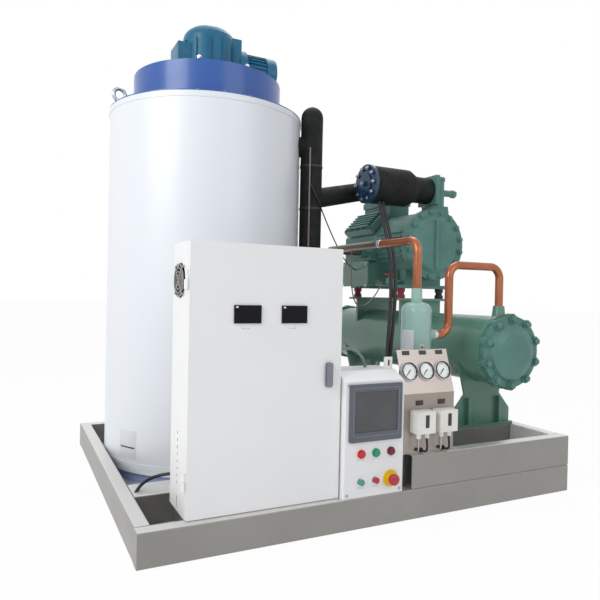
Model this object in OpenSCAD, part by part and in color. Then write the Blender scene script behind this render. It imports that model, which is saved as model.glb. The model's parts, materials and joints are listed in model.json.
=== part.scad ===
// Flake ice machine on a skid: ice drum, refrigeration set and control cabinet.
// Millimetres; origin at the centre of the base footprint on the floor; front faces -Y.

/* [Base frame] */
// Length of the base frame, left to right
frame_l = 1800; // [1760:10:2000]
// Depth of the base frame, front to back
frame_w = 1550; // [1530:10:1800]
// Height of the base rails
rail_h = 110; // [80:5:150]
// Width of the base rails
rail_t = 50; // [40:2:60]
// Clear depth of the open bay behind the front rail
bay_w = 264; // [250:2:280]
// Width of the cross beam behind the bay
beam_w = 136; // [80:4:160]
// Thickness of the floor pan
pan_t = 6; // [4:1:10]

/* [Raised tray] */
// Length of the raised tray, measured from the right end
tray_l = 820; // [800:10:850]
// Height of the tray rim above the base rails
tray_h = 125; // [90:5:160]
// Thickness of the tray floor
tray_floor_t = 4; // [3:0.5:6]
// Width of the beams under the condenser saddles
saddle_beam_w = 50; // [40:2:56]

/* [Ice drum] */
// Radius of the outer jacket
drum_r = 450; // [430:2:454]
// Height of the jacket
drum_h = 1579; // [1400:5:1700]
// Gap between the jacket and the left rail
drum_gap = 6; // [4:1:12]
// Height of the base ring
ring_h = 41; // [35:1:60]
// Thickness of the jacket sheet
jacket_t = 2; // [1.5:0.5:4]
// Thickness of the insulation
foam_t = 58; // [50:1:66]
// Thickness of the evaporator wall
wall_t = 14; // [10:1:18]
// Thickness of the lid
lid_t = 16; // [12:1:24]
// Outer radius of the collar on the lid
collar_r = 347; // [320:1:370]
// Height of the collar
collar_h = 165; // [140:1:180]
// Wall of the collar
collar_t = 6; // [4:1:10]

/* [Spindle] */
// Radius of the spindle shaft
shaft_r = 40; // [32:1:46]
// Running clearance of the shaft in its bearings
run_gap = 0.06; // [0.03:0.01:0.1]
// Gap between the scraper blade and the evaporator wall
blade_gap = 3; // [2:0.5:5]

/* [Drive] */
// Radius of the gear reducer body
gear_r = 124; // [112:1:130]
// Height of the reducer above the lid
gear_h = 447; // [430:1:470]
// Radius of the drive motor
motor_r = 84; // [74:1:86]
// Length of the drive motor
motor_l = 172; // [160:2:200]

/* [Cabinet] */
// Distance of the cabinet from the left end
cab_left = 150; // [140:2:160]
// Width of the cabinet
cab_w = 538; // [532:1:540]
// Height of the cabinet
cab_h = 862; // [800:2:900]
// Depth of the cabinet behind its door
cab_d = 176; // [168:1:188]
// Thickness of the folded door
door_t = 20; // [16:1:22]
// Setback of the door from the front of the frame
cab_setback = 28; // [24:1:36]
// Sheet thickness of the cabinet
cab_sheet = 2; // [1.5:0.5:3]
// Gap between the door and the cabinet
door_gap = 1; // [0.5:0.25:2]
// Side of the vent fan frame
fan_w = 120; // [112:2:124]

/* [Operator box] */
// Width of the operator box
box_w = 243; // [238:1:246]
// Height of the front panel
box_h = 405; // [395:1:420]
// Depth of the box behind its panel
box_d = 180; // [160:2:220]
// Overhang of the panel in front of the frame
box_over = 0; // [-6:1:12]
// Radius of the start and stop buttons
button_r = 11; // [10:0.5:12]
// Travel of the start and stop buttons
button_travel = 4; // [3:0.5:5]
// Radius of the emergency stop head
estop_r = 20; // [18:0.5:22]
// Travel of the emergency stop
estop_travel = 5; // [4:0.5:6]
// Sliding clearance of buttons and plungers
slide_gap = 0.4; // [0.3:0.05:0.6]

/* [Gauge board] */
// Width of the board
board_w = 235; // [228:1:245]
// Height of the upright part
board_low = 220; // [205:1:235]
// Length of the tilted part
board_top = 166; // [150:1:180]
// Tilt of the gauges back from upright
board_tilt = 18; // [12:1:25]
// Radius of the gauge rims
gauge_r = 34; // [32:0.5:36]
// Spacing of the gauges
gauge_pitch = 78; // [75:0.5:80]
// Side of the pressure switches
switch_w = 80; // [74:1:86]
// Depth of the pressure switches
switch_d = 48; // [40:1:55]

/* [Condenser] */
// Radius of the shell
shell_r = 150; // [140:1:156]
// Length of the shell between its end plates
shell_l = 1330; // [1280:5:1380]
// Distance of the shell axis from the right end
cond_right = 210; // [200:1:230]
// Height of the shell axis above the tray rim
cond_rise = 349; // [330:1:380]
// Setback of the front cap from the front of the frame
cap_setback = 100; // [90:1:120]
// Depth of the end caps
cap_d = 52; // [44:1:60]
// Number of bolts in each cap
cap_bolts = 10; // [8:1:12]

/* [Compressor] */
// Radius of the motor housing
comp_r = 170; // [160:1:176]
// Length of the motor housing
motor_house_l = 280; // [260:2:290]
// Length of the crankcase
crank_l = 330; // [310:2:350]
// Height of the crank axis above the feet
crank_rise = 225; // [215:1:240]
// Height of the rubber mounts
mount_h = 51; // [40:1:60]
// Radius of the rubber mounts
mount_r = 22; // [18:1:26]
// Height of the brackets between shell and mounts
bracket_h = 70; // [55:1:85]
// Width of each cylinder bank
bank_w = 125; // [115:1:132]

/* [Pipes] */
// Radius of the copper pipes
copper_r = 17.5; // [14:0.5:19]
// Bend radius of the copper pipes
copper_bend = 52; // [45:1:60]
// Radius of the insulated suction riser
riser_r = 52; // [50:1:55]
// Radius of the insulated branch
branch_r = 47; // [40:1:48]
// Radius of the filter with its insulation
filter_r = 92; // [86:1:95]
// Radius of the oil separator
sep_r = 61; // [55:1:66]
// Height of the oil separator above the tray floor
sep_h = 685; // [650:5:720]

/* [Hidden] */
$fn = 64;
seat = 0.05;
left_x = -frame_l / 2;
right_x = frame_l / 2;
front_y = -frame_w / 2;
rear_y = frame_w / 2;
cross_y = front_y + rail_t + bay_w;
tray_x = right_x - tray_l;
tray_top = rail_h + tray_h;
tray_floor = rail_h + tray_floor_t;

drum_x = left_x + rail_t + drum_gap + drum_r;
drum_y = rear_y - rail_t - drum_gap - 4 - drum_r;
drum_z = pan_t + ring_h;
drum_top = drum_z + drum_h;
lid_top = drum_top + lid_t;
foam_r = drum_r - jacket_t;
wall_r = foam_r - foam_t;
inner_r = wall_r - wall_t;
outlet_r = inner_r + 4;
blade_r = inner_r - blade_gap;
socket_h = 36;
upper_bearing = drum_top - 44;
lower_bearing = drum_z + 90;

worm_z = lid_top + gear_h - 139;
drive_z = lid_top + gear_h - 176;

cab_x0 = left_x + cab_left;
cab_x1 = cab_x0 + cab_w;
door_y = front_y + cab_setback;
cab_y0 = door_y + door_t + door_gap;
cab_y1 = cab_y0 + cab_d;
cab_top = rail_h + cab_h;
hinge_x = cab_x0 - 6;
hinge_y = door_y + door_t / 2;
latch_x = cab_x1 - 50;
latch_z = rail_h + 0.53 * cab_h;
display_x = [cab_x0 + 148, cab_x0 + 313];
display_z = cab_top - 226;
fan_y = cab_y0 + cab_d / 2;
fan_z = cab_top - 122;
fan_wall = cab_x0;

box_x0 = cab_x1 + 6;
box_x1 = box_x0 + box_w;
panel_y = front_y - box_over;
panel_t = 4;
box_y0 = panel_y + panel_t;
key_x = [box_x0 + 0.27 * box_w, box_x0 + 0.52 * box_w, box_x0 + 0.78 * box_w];
lamp_z = rail_h + 153;
key_z = rail_h + 56;
screen_z = rail_h + box_h - 109;
bezel_w = box_w - 27;
bezel_h = box_h - 205;
screen_w = bezel_w - 40;
screen_h = bezel_h - 58;

board_x = tray_x + board_w / 2 - 30;
board_y = front_y + 20;
board_t = 2;
fold_z = tray_top + board_low;
board_up = [0, sin(board_tilt), cos(board_tilt)];
gauge_mid = [board_x, board_y, fold_z] + board_up * (board_top * 0.5);
switch_z = tray_top + 0.55 * board_low;

cond_x = right_x - cond_right;
cond_z = tray_top + cond_rise;
cap_y = front_y + cap_setback;
shell_y0 = cap_y + cap_d;
shell_y1 = shell_y0 + shell_l;
saddle_y = [shell_y0 + 148, shell_y1 - 203];
saddle_t = 12;
nozzle_y = front_y + 206;
nozzle_h = 46;
cap_r = shell_r + 12;
bolt_pcd = shell_r - 6;

comp_y = front_y + 645;
bracket_top = cond_z + shell_r + bracket_h;
comp_z = bracket_top + mount_h;
crank_z = comp_z + crank_rise;
crank_y = comp_y + motor_house_l;
comp_end = crank_y + crank_l;
mount_y = [comp_y + 115, comp_end - 79];
mount_x = [cond_x - 124, cond_x + 124];
side_x = cond_x - 165;
pad_z = crank_z + comp_r + 10;
pad_x = cond_x + 52;
suction_y = comp_y + 75;
suction_z = pad_z + 100;
discharge_y = crank_y + 45;
discharge_z = crank_z - 35;

sep_x = tray_x + 162;
sep_y = nozzle_y;
sep_top = tray_floor + sep_h;
outlet_z = tray_floor + 543;
hot_x = sep_x + sep_r + 105;
hot_z = tray_floor + 835;

filter_x0 = cond_x - 383;
filter_cover_t = 24;
filter_x1 = cond_x - 92;
riser_a = -31;
riser_gap = 6;
riser_d = drum_r + riser_r + riser_gap;
riser_x = drum_x + riser_d * cos(riser_a);
riser_y = drum_y + riser_d * sin(riser_a);
riser_top = drum_top + 79;
stub_z = drum_top - 110;
riser_low = rail_h + 560;
branch_end = [filter_x0 + 108, suction_y + filter_r + branch_r + 44, suction_z];
branch_start = [riser_x, riser_y, suction_z - 92];

valve_x = side_x - 25;
valve_y = mount_y[0] + 5;
valve_z = comp_z + 35;

// Shared shapes
function unit(v) = v / norm(v);
function arc_points(r, a0, a1, n) = [for (i = [0 : n]) r * [cos(a0 + (a1 - a0) * i / n), sin(a0 + (a1 - a0) * i / n)]];
function round_points(w, h, r) = concat(
  [for (p = arc_points(r, 0, 90, 4)) p + [w / 2 - r, h / 2 - r]],
  [for (p = arc_points(r, 90, 180, 4)) p + [r - w / 2, h / 2 - r]],
  [for (p = arc_points(r, 180, 270, 4)) p + [r - w / 2, r - h / 2]],
  [for (p = arc_points(r, 270, 360, 4)) p + [w / 2 - r, r - h / 2]]);
function bezier(p, t) = len(p) == 1 ? p[0]
  : bezier([for (i = [0 : len(p) - 2]) p[i] * (1 - t) + p[i + 1] * t], t);

module round_plate(w, h, r, t) {
  linear_extrude(t) polygon(round_points(w, h, r));
}

module rail_x(x0, x1, y0, w, z0, h) {
  translate([x0, y0 + w / 2, z0 + h / 2]) rotate([90, 0, 90]) round_plate(w, h, 5, x1 - x0);
}

module rail_y(x0, w, y0, y1, z0, h) {
  translate([x0 + w / 2, y1, z0 + h / 2]) rotate([90, 0, 0]) round_plate(w, h, 5, y1 - y0);
}

module block(p, q) {
  translate(p) cube(q - p);
}

module ring(r0, r1, h) {
  difference() {
    cylinder(h = h, r = r1, $fn = 128);
    translate([0, 0, -1]) cylinder(h = h + 2, r = r0, $fn = 128);
  }
}

module rod(p, q, r) {
  d = q - p;
  translate(p) rotate([0, acos(d[2] / norm(d)), atan2(d[1], d[0])]) cylinder(h = norm(d), r = r);
}

module elbow(p, d1, d2, r, bend) {
  x = -d2;
  z = cross(x, d1);
  c = p + (d2 - d1) * bend;
  multmatrix([[x[0], d1[0], z[0], c[0]], [x[1], d1[1], z[1], c[1]], [x[2], d1[2], z[2], c[2]], [0, 0, 0, 1]])
    rotate_extrude(angle = 90) translate([bend, 0]) circle(r);
}

// A pipe through points whose corners are all square
module pipe_run(pts, r, bend) {
  n = len(pts);
  dir = [for (i = [0 : n - 2]) unit(pts[i + 1] - pts[i])];
  trim = [for (i = [0 : n - 1]) (i == 0 || i == n - 1) ? 0 : bend];
  for (i = [0 : n - 2])
    rod(pts[i] + dir[i] * trim[i], pts[i + 1] - dir[i] * trim[i + 1], r);
  for (i = [1 : n - 2])
    elbow(pts[i], dir[i - 1], dir[i], r, bend);
}

module hose(ctrl, r, rings, sides) {
  path = [for (i = [0 : rings]) bezier(ctrl, i / rings)];
  way = [for (i = [0 : rings]) unit(path[min(i + 1, rings)] - path[max(i - 1, 0)])];
  across = [for (w = way) unit(cross(w, [0.31, 0.94, 0.1]))];
  pts = [for (i = [0 : rings]) for (j = [0 : sides - 1])
    path[i] + r * (across[i] * cos(360 * j / sides) + cross(way[i], across[i]) * sin(360 * j / sides))];
  skin = [for (i = [0 : rings - 1]) for (j = [0 : sides - 1]) let (k = (j + 1) % sides)
    [i * sides + j, (i + 1) * sides + j, (i + 1) * sides + k, i * sides + k]];
  ends = [[for (j = [0 : sides - 1]) j], [for (j = [0 : sides - 1]) rings * sides + sides - 1 - j]];
  polyhedron(pts, concat(skin, ends), convexity = 6);
}

module at_drum(z) {
  translate([drum_x, drum_y, z]) children();
}

module facing_front(x, y, z) {
  translate([x, y, z]) rotate([90, 0, 0]) children();
}

module on_board(dx) {
  translate(gauge_mid + [dx, 0, 0]) rotate([90 - board_tilt, 0, 0]) children();
}

module hex_bolt(r, h) {
  cylinder(h = h, r = r, $fn = 6);
}

// Base frame and tray
module base_rails() {
  color("silver") {
    rail_x(left_x, right_x, front_y, rail_t, 0, rail_h);
    rail_x(left_x, right_x, rear_y - rail_t, rail_t, 0, rail_h);
    rail_x(left_x + rail_t, tray_x, cross_y, beam_w, 0, rail_h);
  }
}

module side_rails() {
  color("silver") {
    rail_y(left_x, rail_t, front_y + rail_t, rear_y - rail_t, 0, rail_h);
    rail_y(tray_x, rail_t, front_y + rail_t, rear_y - rail_t, 0, rail_h);
    rail_y(right_x - rail_t, rail_t, front_y + rail_t, rear_y - rail_t, 0, rail_h);
    for (x = [cab_x0 + 40, cab_x1 - 80, box_x1 - 80])
      rail_y(x, 40, front_y + rail_t, cross_y, pan_t, rail_h - pan_t);
  }
}

module floor_pan() {
  color("silver") {
    difference() {
      block([left_x + rail_t, cross_y + beam_w, 0], [tray_x, rear_y - rail_t, pan_t]);
      at_drum(-1) cylinder(h = pan_t + 2, r = outlet_r, $fn = 128);
    }
    block([left_x + rail_t, front_y + rail_t, 0], [tray_x, cross_y, pan_t]);
    block([tray_x + rail_t, front_y + rail_t, rail_h], [right_x - rail_t, rear_y - rail_t, tray_floor]);
  }
}

module tray_rims() {
  color("silver") {
    difference() {
      rail_x(tray_x, right_x, front_y, rail_t, rail_h, tray_h);
      block([tray_x - 1, front_y + 4, rail_h + 4], [tray_x + 60, front_y + rail_t - 4, tray_top - 4]);
    }
    rail_x(tray_x, right_x, rear_y - rail_t, rail_t, rail_h, tray_h);
    for (y = saddle_y)
      rail_x(tray_x + rail_t, right_x - rail_t, y - saddle_beam_w / 2, saddle_beam_w, tray_floor, tray_top - tray_floor);
  }
}

module tray_sides() {
  color("silver") {
    rail_y(tray_x, rail_t, front_y + rail_t, rear_y - rail_t, rail_h, tray_h);
    rail_y(right_x - rail_t, rail_t, front_y + rail_t, rear_y - rail_t, rail_h, tray_h);
  }
}

// Ice drum
module base_ring() {
  color("royalblue") at_drum(pan_t) ring(outlet_r, drum_r - 20, ring_h);
}

module drum_jacket() {
  color("white") at_drum(drum_z) ring(foam_r, drum_r, drum_h);
}

module drum_insulation() {
  color("wheat") at_drum(drum_z) ring(wall_r, foam_r, drum_h);
}

module evaporator_wall() {
  color("gainsboro") at_drum(drum_z) ring(inner_r, wall_r, drum_h);
}

module drum_lid() {
  color("royalblue") at_drum(drum_top) difference() {
    union() {
      cylinder(h = lid_t, r = drum_r + 2, $fn = 128);
      translate([0, 0, lid_t - 2]) ring(collar_r - collar_t, collar_r, collar_h + 2);
      translate([0, 0, lid_t - 2]) ring(collar_r - 1, collar_r + 22, 10);
    }
    translate([0, 0, -1]) cylinder(h = lid_t + 2, r = shaft_r + 4);
  }
}

module lifting_eyes() {
  color("royalblue") for (a = [188, 8])
    at_drum(lid_top) rotate([0, 0, a]) translate([drum_r - 22, 0, 0]) {
      cylinder(h = 12, r = 17);
      cylinder(h = 14, r = 9);
      translate([0, 0, 37]) rotate([90, 0, 8]) rotate_extrude() translate([27, 0]) circle(8);
    }
}

module shaft_bearings() {
  color("dimgray") {
    at_drum(upper_bearing) {
      ring(shaft_r + run_gap, 78, 44);
      translate([0, 0, 30]) ring(77, 120, 14);
    }
    at_drum(lower_bearing) {
      ring(shaft_r + run_gap, 70, 40);
      for (a = [30, 150, 270])
        rotate([0, 0, a]) translate([66, -18, 0]) cube([inner_r - 66 - 0.5, 36, 40]);
    }
  }
}

module main_shaft() {
  color("lightgray") at_drum(lower_bearing + 4)
    cylinder(h = lid_top + socket_h - lower_bearing - 6, r = shaft_r);
}

module ice_scraper() {
  hub_z = [0.28, 0.52, 0.76];
  color("silver") {
    for (k = hub_z) at_drum(drum_z + k * drum_h) {
      ring(shaft_r + seat, 66, 70);
      translate([60, -20, 10]) cube([blade_r - 130, 40, 50]);
    }
    at_drum(drum_z + 0.24 * drum_h) translate([blade_r - 90, -26, 0]) cube([28, 52, 0.6 * drum_h]);
    for (i = [0 : 13])
      at_drum(drum_z + (0.245 + 0.042 * i) * drum_h)
        translate([blade_r - 64, -14, 0]) rotate([24, 0, 0]) cube([62, 12, 46]);
  }
}

module water_pan() {
  z = drum_z + 0.88 * drum_h;
  color("silver") at_drum(z) {
    ring(shaft_r + seat, 64, 46);
    for (a = [90, 180, 270])
      rotate([0, 0, a]) translate([60, -6, 4]) cube([blade_r - 148, 12, 30]);
    difference() {
      ring(blade_r - 92, blade_r - 30, 46);
      translate([0, 0, 4]) ring(blade_r - 88, blade_r - 34, 46);
    }
  }
}

// Drive on the lid
module gear_reducer() {
  h = gear_h - 2;
  dome = [for (i = [0 : 6]) [gear_r * cos(15 * i), h - 70 + 70 * sin(15 * i)]];
  color("steelblue") at_drum(lid_top) difference() {
    union() {
      cylinder(h = 26, r = 160);
      rotate_extrude() polygon(concat([[0, 20], [gear_r, 20]], dome));
      for (i = [0 : 11])
        rotate([0, 0, 30 * i + 15]) translate([gear_r - 12, -4, 20]) cube([20, 8, h - 110]);
      translate([-gear_r - 44, -70, worm_z - lid_top - 90]) cube([70, 140, 112]);
      translate([gear_r - 40, -85, drive_z - lid_top - 95]) cube([52, 170, 212]);
      translate([gear_r + 6, 0, drive_z - lid_top]) rotate([0, 90, 0]) cylinder(h = 24, r = motor_r + 10);
    }
    translate([0, 0, -1]) cylinder(h = socket_h + 3, r = shaft_r + run_gap);
  }
}

module drive_motor() {
  x0 = gear_r + 30;
  color("steelblue") at_drum(drive_z) {
    translate([x0, 0, 0]) rotate([0, 90, 0]) cylinder(h = 16, r = motor_r + 10);
    translate([x0 + 14, 0, 0]) rotate([0, 90, 0]) cylinder(h = motor_l - 60, r = motor_r - 8);
    for (i = [0 : 23])
      translate([x0 + 14, 0, 0]) rotate([15 * i, 0, 0]) translate([0, -1.5, motor_r - 14]) cube([motor_l - 62, 3, 14]);
    translate([x0 + motor_l - 50, 0, 0]) rotate([0, 90, 0]) cylinder(h = 50, r = motor_r);
    translate([x0 + motor_l - 2, 0, 0]) rotate([0, 90, 0]) cylinder(h = 10, r1 = motor_r - 2, r2 = motor_r - 16);
    translate([x0 + 30, motor_r - 20, -45]) cube([80, 40, 90]);
  }
}

// Control cabinet
module cabinet_body() {
  color("whitesmoke") {
    difference() {
      block([cab_x0, cab_y0, rail_h], [cab_x1, cab_y1, cab_top]);
      block([cab_x0 + cab_sheet, cab_y0 - 1, rail_h + cab_sheet], [cab_x1 - cab_sheet, cab_y1 - cab_sheet, cab_top - cab_sheet]);
      translate([cab_x0 - 1, fan_y, fan_z]) rotate([0, 90, 0]) cylinder(h = cab_sheet + 2, r = fan_w / 2 - 4);
      for (i = [0 : 7])
        translate([cab_x0 - 1, fan_y, rail_h + 90 + 23 * i]) rotate([0, 90, 0]) cylinder(h = cab_sheet + 2, r = 5, $fn = 24);
      block([cab_x0 - 1, fan_y - 4, rail_h + 10], [cab_x0 + cab_sheet + 1, fan_y + 4, rail_h + 48]);
    }
    for (z = [rail_h + 90, cab_top - 150]) {
      translate([hinge_x, hinge_y, z]) cylinder(h = 30, r = 5.5);
      block([hinge_x, hinge_y, z], [cab_x0 - 1.5, cab_y0 + 24, z + 30]);
      block([cab_x0 - 2, cab_y0 + 4, z], [cab_x0 + 1, cab_y0 + 24, z + 30]);
    }
  }
}

module cabinet_door() {
  z0 = rail_h + 2;
  color("gainsboro") {
    difference() {
      translate([(cab_x0 + cab_x1) / 2, door_y + door_t, (z0 + cab_top - 1) / 2]) rotate([90, 0, 0])
        round_plate(cab_w, cab_top - 1 - z0, 3, door_t);
      block([cab_x0 + 8, door_y + cab_sheet, z0 + 8], [cab_x1 - 8, door_y + door_t + 1, cab_top - 9]);
      for (x = display_x)
        block([x, door_y - 1, display_z - 25], [x + 84, door_y + 5, display_z + 25]);
      facing_front(latch_x, door_y + door_t + 1, latch_z) cylinder(h = door_t + 2, r = 8 + run_gap);
    }
    facing_front(latch_x, door_y + 14, latch_z) ring(8 + run_gap, 18, 13);
    for (z = [rail_h + 121, cab_top - 119]) {
      translate([hinge_x, hinge_y, z]) cylinder(h = 30, r = 5.5);
      block([hinge_x, hinge_y - 4, z], [cab_x0 + 1, hinge_y + 4, z + 30]);
    }
  }
}

module door_displays() {
  color("black") for (x = display_x) {
    block([x + seat, door_y + seat, display_z - 25 + seat], [x + 84 - seat, door_y + 34, display_z + 25 - seat]);
    block([x - 4, door_y - 5, display_z - 29], [x + 88, door_y - seat, display_z + 29]);
    block([x + 4, door_y - 1, display_z - 21], [x + 80, door_y + 4, display_z + 21]);
  }
}

module door_latch() {
  color("dimgray") {
    facing_front(latch_x, door_y + door_t + 8, latch_z) cylinder(h = door_t + 18, r = 8);
    facing_front(latch_x, door_y - 4, latch_z - 26) round_plate(24, 84, 8, 10);
    facing_front(latch_x, door_y - 1, latch_z) cylinder(h = 6, r = 11);
    block([latch_x - 9, door_y + door_t + 3, latch_z - 9], [latch_x + 42, door_y + door_t + 8, latch_z + 9]);
  }
}

module switchgear() {
  y1 = cab_y1 - cab_sheet;
  color("gray") {
    block([cab_x0 + 50, y1 - 10, rail_h + 60], [cab_x1 - 30, y1, cab_top - 60]);
    for (i = [0 : 3])
      block([cab_x0 + 70 + 96 * i, y1 - 86, cab_top - 420], [cab_x0 + 140 + 96 * i, y1 - 9, cab_top - 320]);
    for (i = [0 : 7])
      block([cab_x0 + 72 + 46 * i, y1 - 74, cab_top - 620], [cab_x0 + 108 + 46 * i, y1 - 9, cab_top - 530]);
    block([cab_x0 + 70, y1 - 46, rail_h + 90], [cab_x1 - 60, y1 - 9, rail_h + 140]);
  }
}

module fan_housing() {
  x1 = cab_x0 + cab_sheet;
  color("dimgray") translate([x1, fan_y, fan_z]) rotate([0, 90, 0]) {
    difference() {
      translate([0, 0, 0]) round_plate(fan_w, fan_w, 8, 38);
      translate([0, 0, -1]) cylinder(h = 40, r = fan_w / 2 - 4);
    }
    difference() {
      union() {
        translate([0, 0, 30]) cylinder(h = 10, r = 20);
        for (a = [45, 135])
          rotate([0, 0, a]) translate([-fan_w / 2, -4, 32]) cube([fan_w, 8, 6]);
      }
      translate([0, 0, 29]) cylinder(h = 10, r = 4 + run_gap);
    }
    translate([0, 0, -cab_sheet - 8]) {
      for (k = [0.25, 0.45, 0.65, 0.85])
        ring(k * fan_w / 2, k * fan_w / 2 + 3, 3);
      for (a = [45, 135])
        rotate([0, 0, a]) translate([-fan_w / 2 - 4, -3, 0]) cube([fan_w + 8, 6, 2.5]);
      for (a = [45, 135, 225, 315])
        rotate([0, 0, a]) translate([fan_w / 2, 0, 0]) cylinder(h = 8, r = 4);
    }
  }
}

module fan_rotor() {
  color("black") translate([cab_x0 + cab_sheet, fan_y, fan_z]) rotate([0, 90, 0]) {
    translate([0, 0, 4]) cylinder(h = 25, r = 20);
    translate([0, 0, 28]) cylinder(h = 9, r = 4);
    for (i = [0 : 6])
      rotate([0, 0, i * 360 / 7]) translate([16, 0, 16]) rotate([38, 0, 0]) translate([0, -1.2, -13]) cube([fan_w / 2 - 25, 2.4, 26]);
  }
}

// Operator box
module control_box() {
  slope = 30;
  color("whitesmoke") difference() {
    translate([box_x0, 0, 0]) rotate([90, 0, 90]) linear_extrude(box_w)
      polygon([[box_y0, rail_h], [box_y0 + box_d, rail_h], [box_y0 + box_d, rail_h + box_h + slope],
        [box_y0 + 58, rail_h + box_h + slope], [box_y0, rail_h + box_h]]);
    block([box_x0 + 2, box_y0 - 1, rail_h + 2], [box_x1 - 2, box_y0 + box_d - 2, rail_h + box_h - 8]);
  }
}

module control_panel() {
  color("gainsboro") difference() {
    facing_front((box_x0 + box_x1) / 2, box_y0, rail_h + 1 + box_h / 2) round_plate(box_w, box_h - 2, 4, panel_t);
    for (x = key_x)
      facing_front(x, box_y0 + 1, lamp_z) cylinder(h = panel_t + 2, r = 11.5);
    for (x = key_x)
      facing_front(x, box_y0 + 1, key_z) cylinder(h = panel_t + 2, r = button_r + slide_gap);
    facing_front((box_x0 + box_x1) / 2, box_y0 + 1, screen_z) round_plate(bezel_w - 26, bezel_h - 34, 3, panel_t + 2);
  }
}

module screen_bezel() {
  color("slategray") facing_front((box_x0 + box_x1) / 2, panel_y - seat, screen_z) difference() {
    round_plate(bezel_w, bezel_h, 6, 9);
    translate([0, 4, 3]) round_plate(screen_w, screen_h, 2, 10);
    translate([0, 4, -1]) round_plate(screen_w - 8, screen_h - 8, 2, 12);
  }
}

module touch_screen() {
  color("dimgray") {
    facing_front((box_x0 + box_x1) / 2, panel_y - 3.1, screen_z + 4) round_plate(screen_w - 0.2, screen_h - 0.2, 2, 3);
    facing_front((box_x0 + box_x1) / 2, box_y0 + 40, screen_z + 4) round_plate(screen_w - 16, screen_h - 16, 2, 48);
  }
}

module lamps() {
  colors = ["red", "green", "darkred"];
  for (i = [0 : 2]) color(colors[i]) facing_front(key_x[i], panel_y - seat, lamp_z) {
    cylinder(h = 6, r = 15);
    translate([0, 0, 5]) cylinder(h = 8, r1 = 12.5, r2 = 11);
    translate([0, 0, -40]) cylinder(h = 41, r = 11);
  }
}

module button_collars() {
  color("silver") for (i = [0, 1]) facing_front(key_x[i], panel_y - seat, key_z)
    ring(button_r + slide_gap, 15, 5);
}

module push_button(i) {
  facing_front(key_x[i], box_y0 + 30, key_z) cylinder(h = 30 + panel_t + 5 + button_travel + 3, r = button_r);
}

module start_button() {
  color("seagreen") push_button(0);
}

module stop_button() {
  color("crimson") push_button(1);
}

module estop_collar() {
  color("gold") facing_front(key_x[2], panel_y - seat, key_z) {
    ring(button_r + slide_gap, 30, 4);
    translate([0, 0, 3]) ring(button_r + slide_gap, 17, 9);
  }
}

module estop_plunger() {
  color("dimgray") facing_front(key_x[2], box_y0 + 30, key_z) {
    cylinder(h = 30 + panel_t + 12 + estop_travel + 1.5, r = button_r);
    cylinder(h = 30 + panel_t + 12 + estop_travel + 11, r = 7);
  }
}

module estop_head() {
  cap = [for (i = [0 : 6]) [estop_r * cos(15 * i), 10 + 8 * sin(15 * i)]];
  color("firebrick") facing_front(key_x[2], panel_y - 12 - estop_travel - 1.8, key_z) difference() {
    rotate_extrude() polygon(concat([[0, 0], [estop_r - 3, 0], [estop_r, 3]], cap));
    translate([0, 0, -1]) cylinder(h = 12, r = 7 + run_gap);
  }
}

// Gauge board
module gauge_board() {
  x0 = board_x - board_w / 2;
  color("silver") difference() {
    union() {
      block([x0, board_y, tray_top], [x0 + board_w, board_y + board_t, fold_z + 0.3]);
      block([tray_x + 4, board_y, tray_top], [x0 + board_w, board_y + 28, tray_top + board_t]);
      on_board(0) translate([-board_w / 2, -board_top / 2, -board_t]) cube([board_w, board_top, board_t]);
      on_board(0) translate([-board_w / 2, board_top / 2 - board_t, -22]) cube([board_w, board_t, 22]);
      for (s = [0, 1])
        block([x0 + s * (board_w - board_t), board_y, tray_top + 40], [x0 + s * (board_w - board_t) + board_t, board_y + 22, fold_z - 4]);
    }
    for (i = [-1 : 1])
      on_board(i * gauge_pitch) translate([0, 0, -3]) cylinder(h = 6, r = gauge_r - 4 + 0.3);
  }
}

module gauge_cases() {
  color("dimgray") for (i = [-1 : 1]) on_board(i * gauge_pitch) difference() {
    union() {
      translate([0, 0, seat]) cylinder(h = 11, r = gauge_r);
      translate([0, 0, -20]) cylinder(h = 21, r = gauge_r - 4);
      translate([0, 0, -40]) cylinder(h = 22, r = 8);
    }
    translate([0, 0, 4]) cylinder(h = 10, r = gauge_r - 3);
    translate([0, 0, 1]) cylinder(h = 4, r = 1.6 + run_gap);
  }
}

module gauge_lenses() {
  color("lightcyan") for (i = [-1 : 1]) on_board(i * gauge_pitch)
    translate([0, 0, 8]) cylinder(h = 2, r = gauge_r - 3 - seat);
}

module needle(i) {
  color("black") on_board(i * gauge_pitch) rotate([0, 0, 135]) {
    translate([0, 0, 1.5]) cylinder(h = 5.2, r = 1.6);
    translate([0, 0, 5.2]) linear_extrude(1)
      polygon([[-1.6, -8], [1.6, -8], [1.6, 4], [0.4, gauge_r - 9], [-0.4, gauge_r - 9], [-1.6, 4]]);
  }
}

module needle_left() {
  needle(-1);
}

module needle_middle() {
  needle(0);
}

module needle_right() {
  needle(1);
}

module pressure_switches() {
  color("whitesmoke") for (i = [0, 1]) {
    x = board_x - 46 + 103 * i;
    block([x - switch_w / 2, board_y - switch_d, switch_z - switch_w / 2], [x + switch_w / 2, board_y, switch_z + switch_w / 2]);
    for (s = [-1, 1])
      translate([x + s * 18, board_y - switch_d / 2, switch_z - switch_w / 2 - 20]) cylinder(h = 21, r = 9);
  }
}

module gauge_hoses() {
  top = [filter_x0 + 60, suction_y - 40, suction_z - filter_r - 4];
  color("black") for (i = [0, 1])
    hose([top + [22 * i, 0, 8], top + [22 * i, -30, -90], [sep_x + 93 + 24 * i, sep_y + 339, 1010],
      [sep_x + 188 + 30 * i, sep_y + 209, 800], [sep_x - 182 + 34 * i, sep_y + 229, 480],
      [tray_x + rail_t + 14, sep_y - 50 + 26 * i, tray_floor + 140],
      [tray_x + rail_t + 14, sep_y - 50 + 26 * i, tray_floor + 2]], 8, 24, 10);
}

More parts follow.
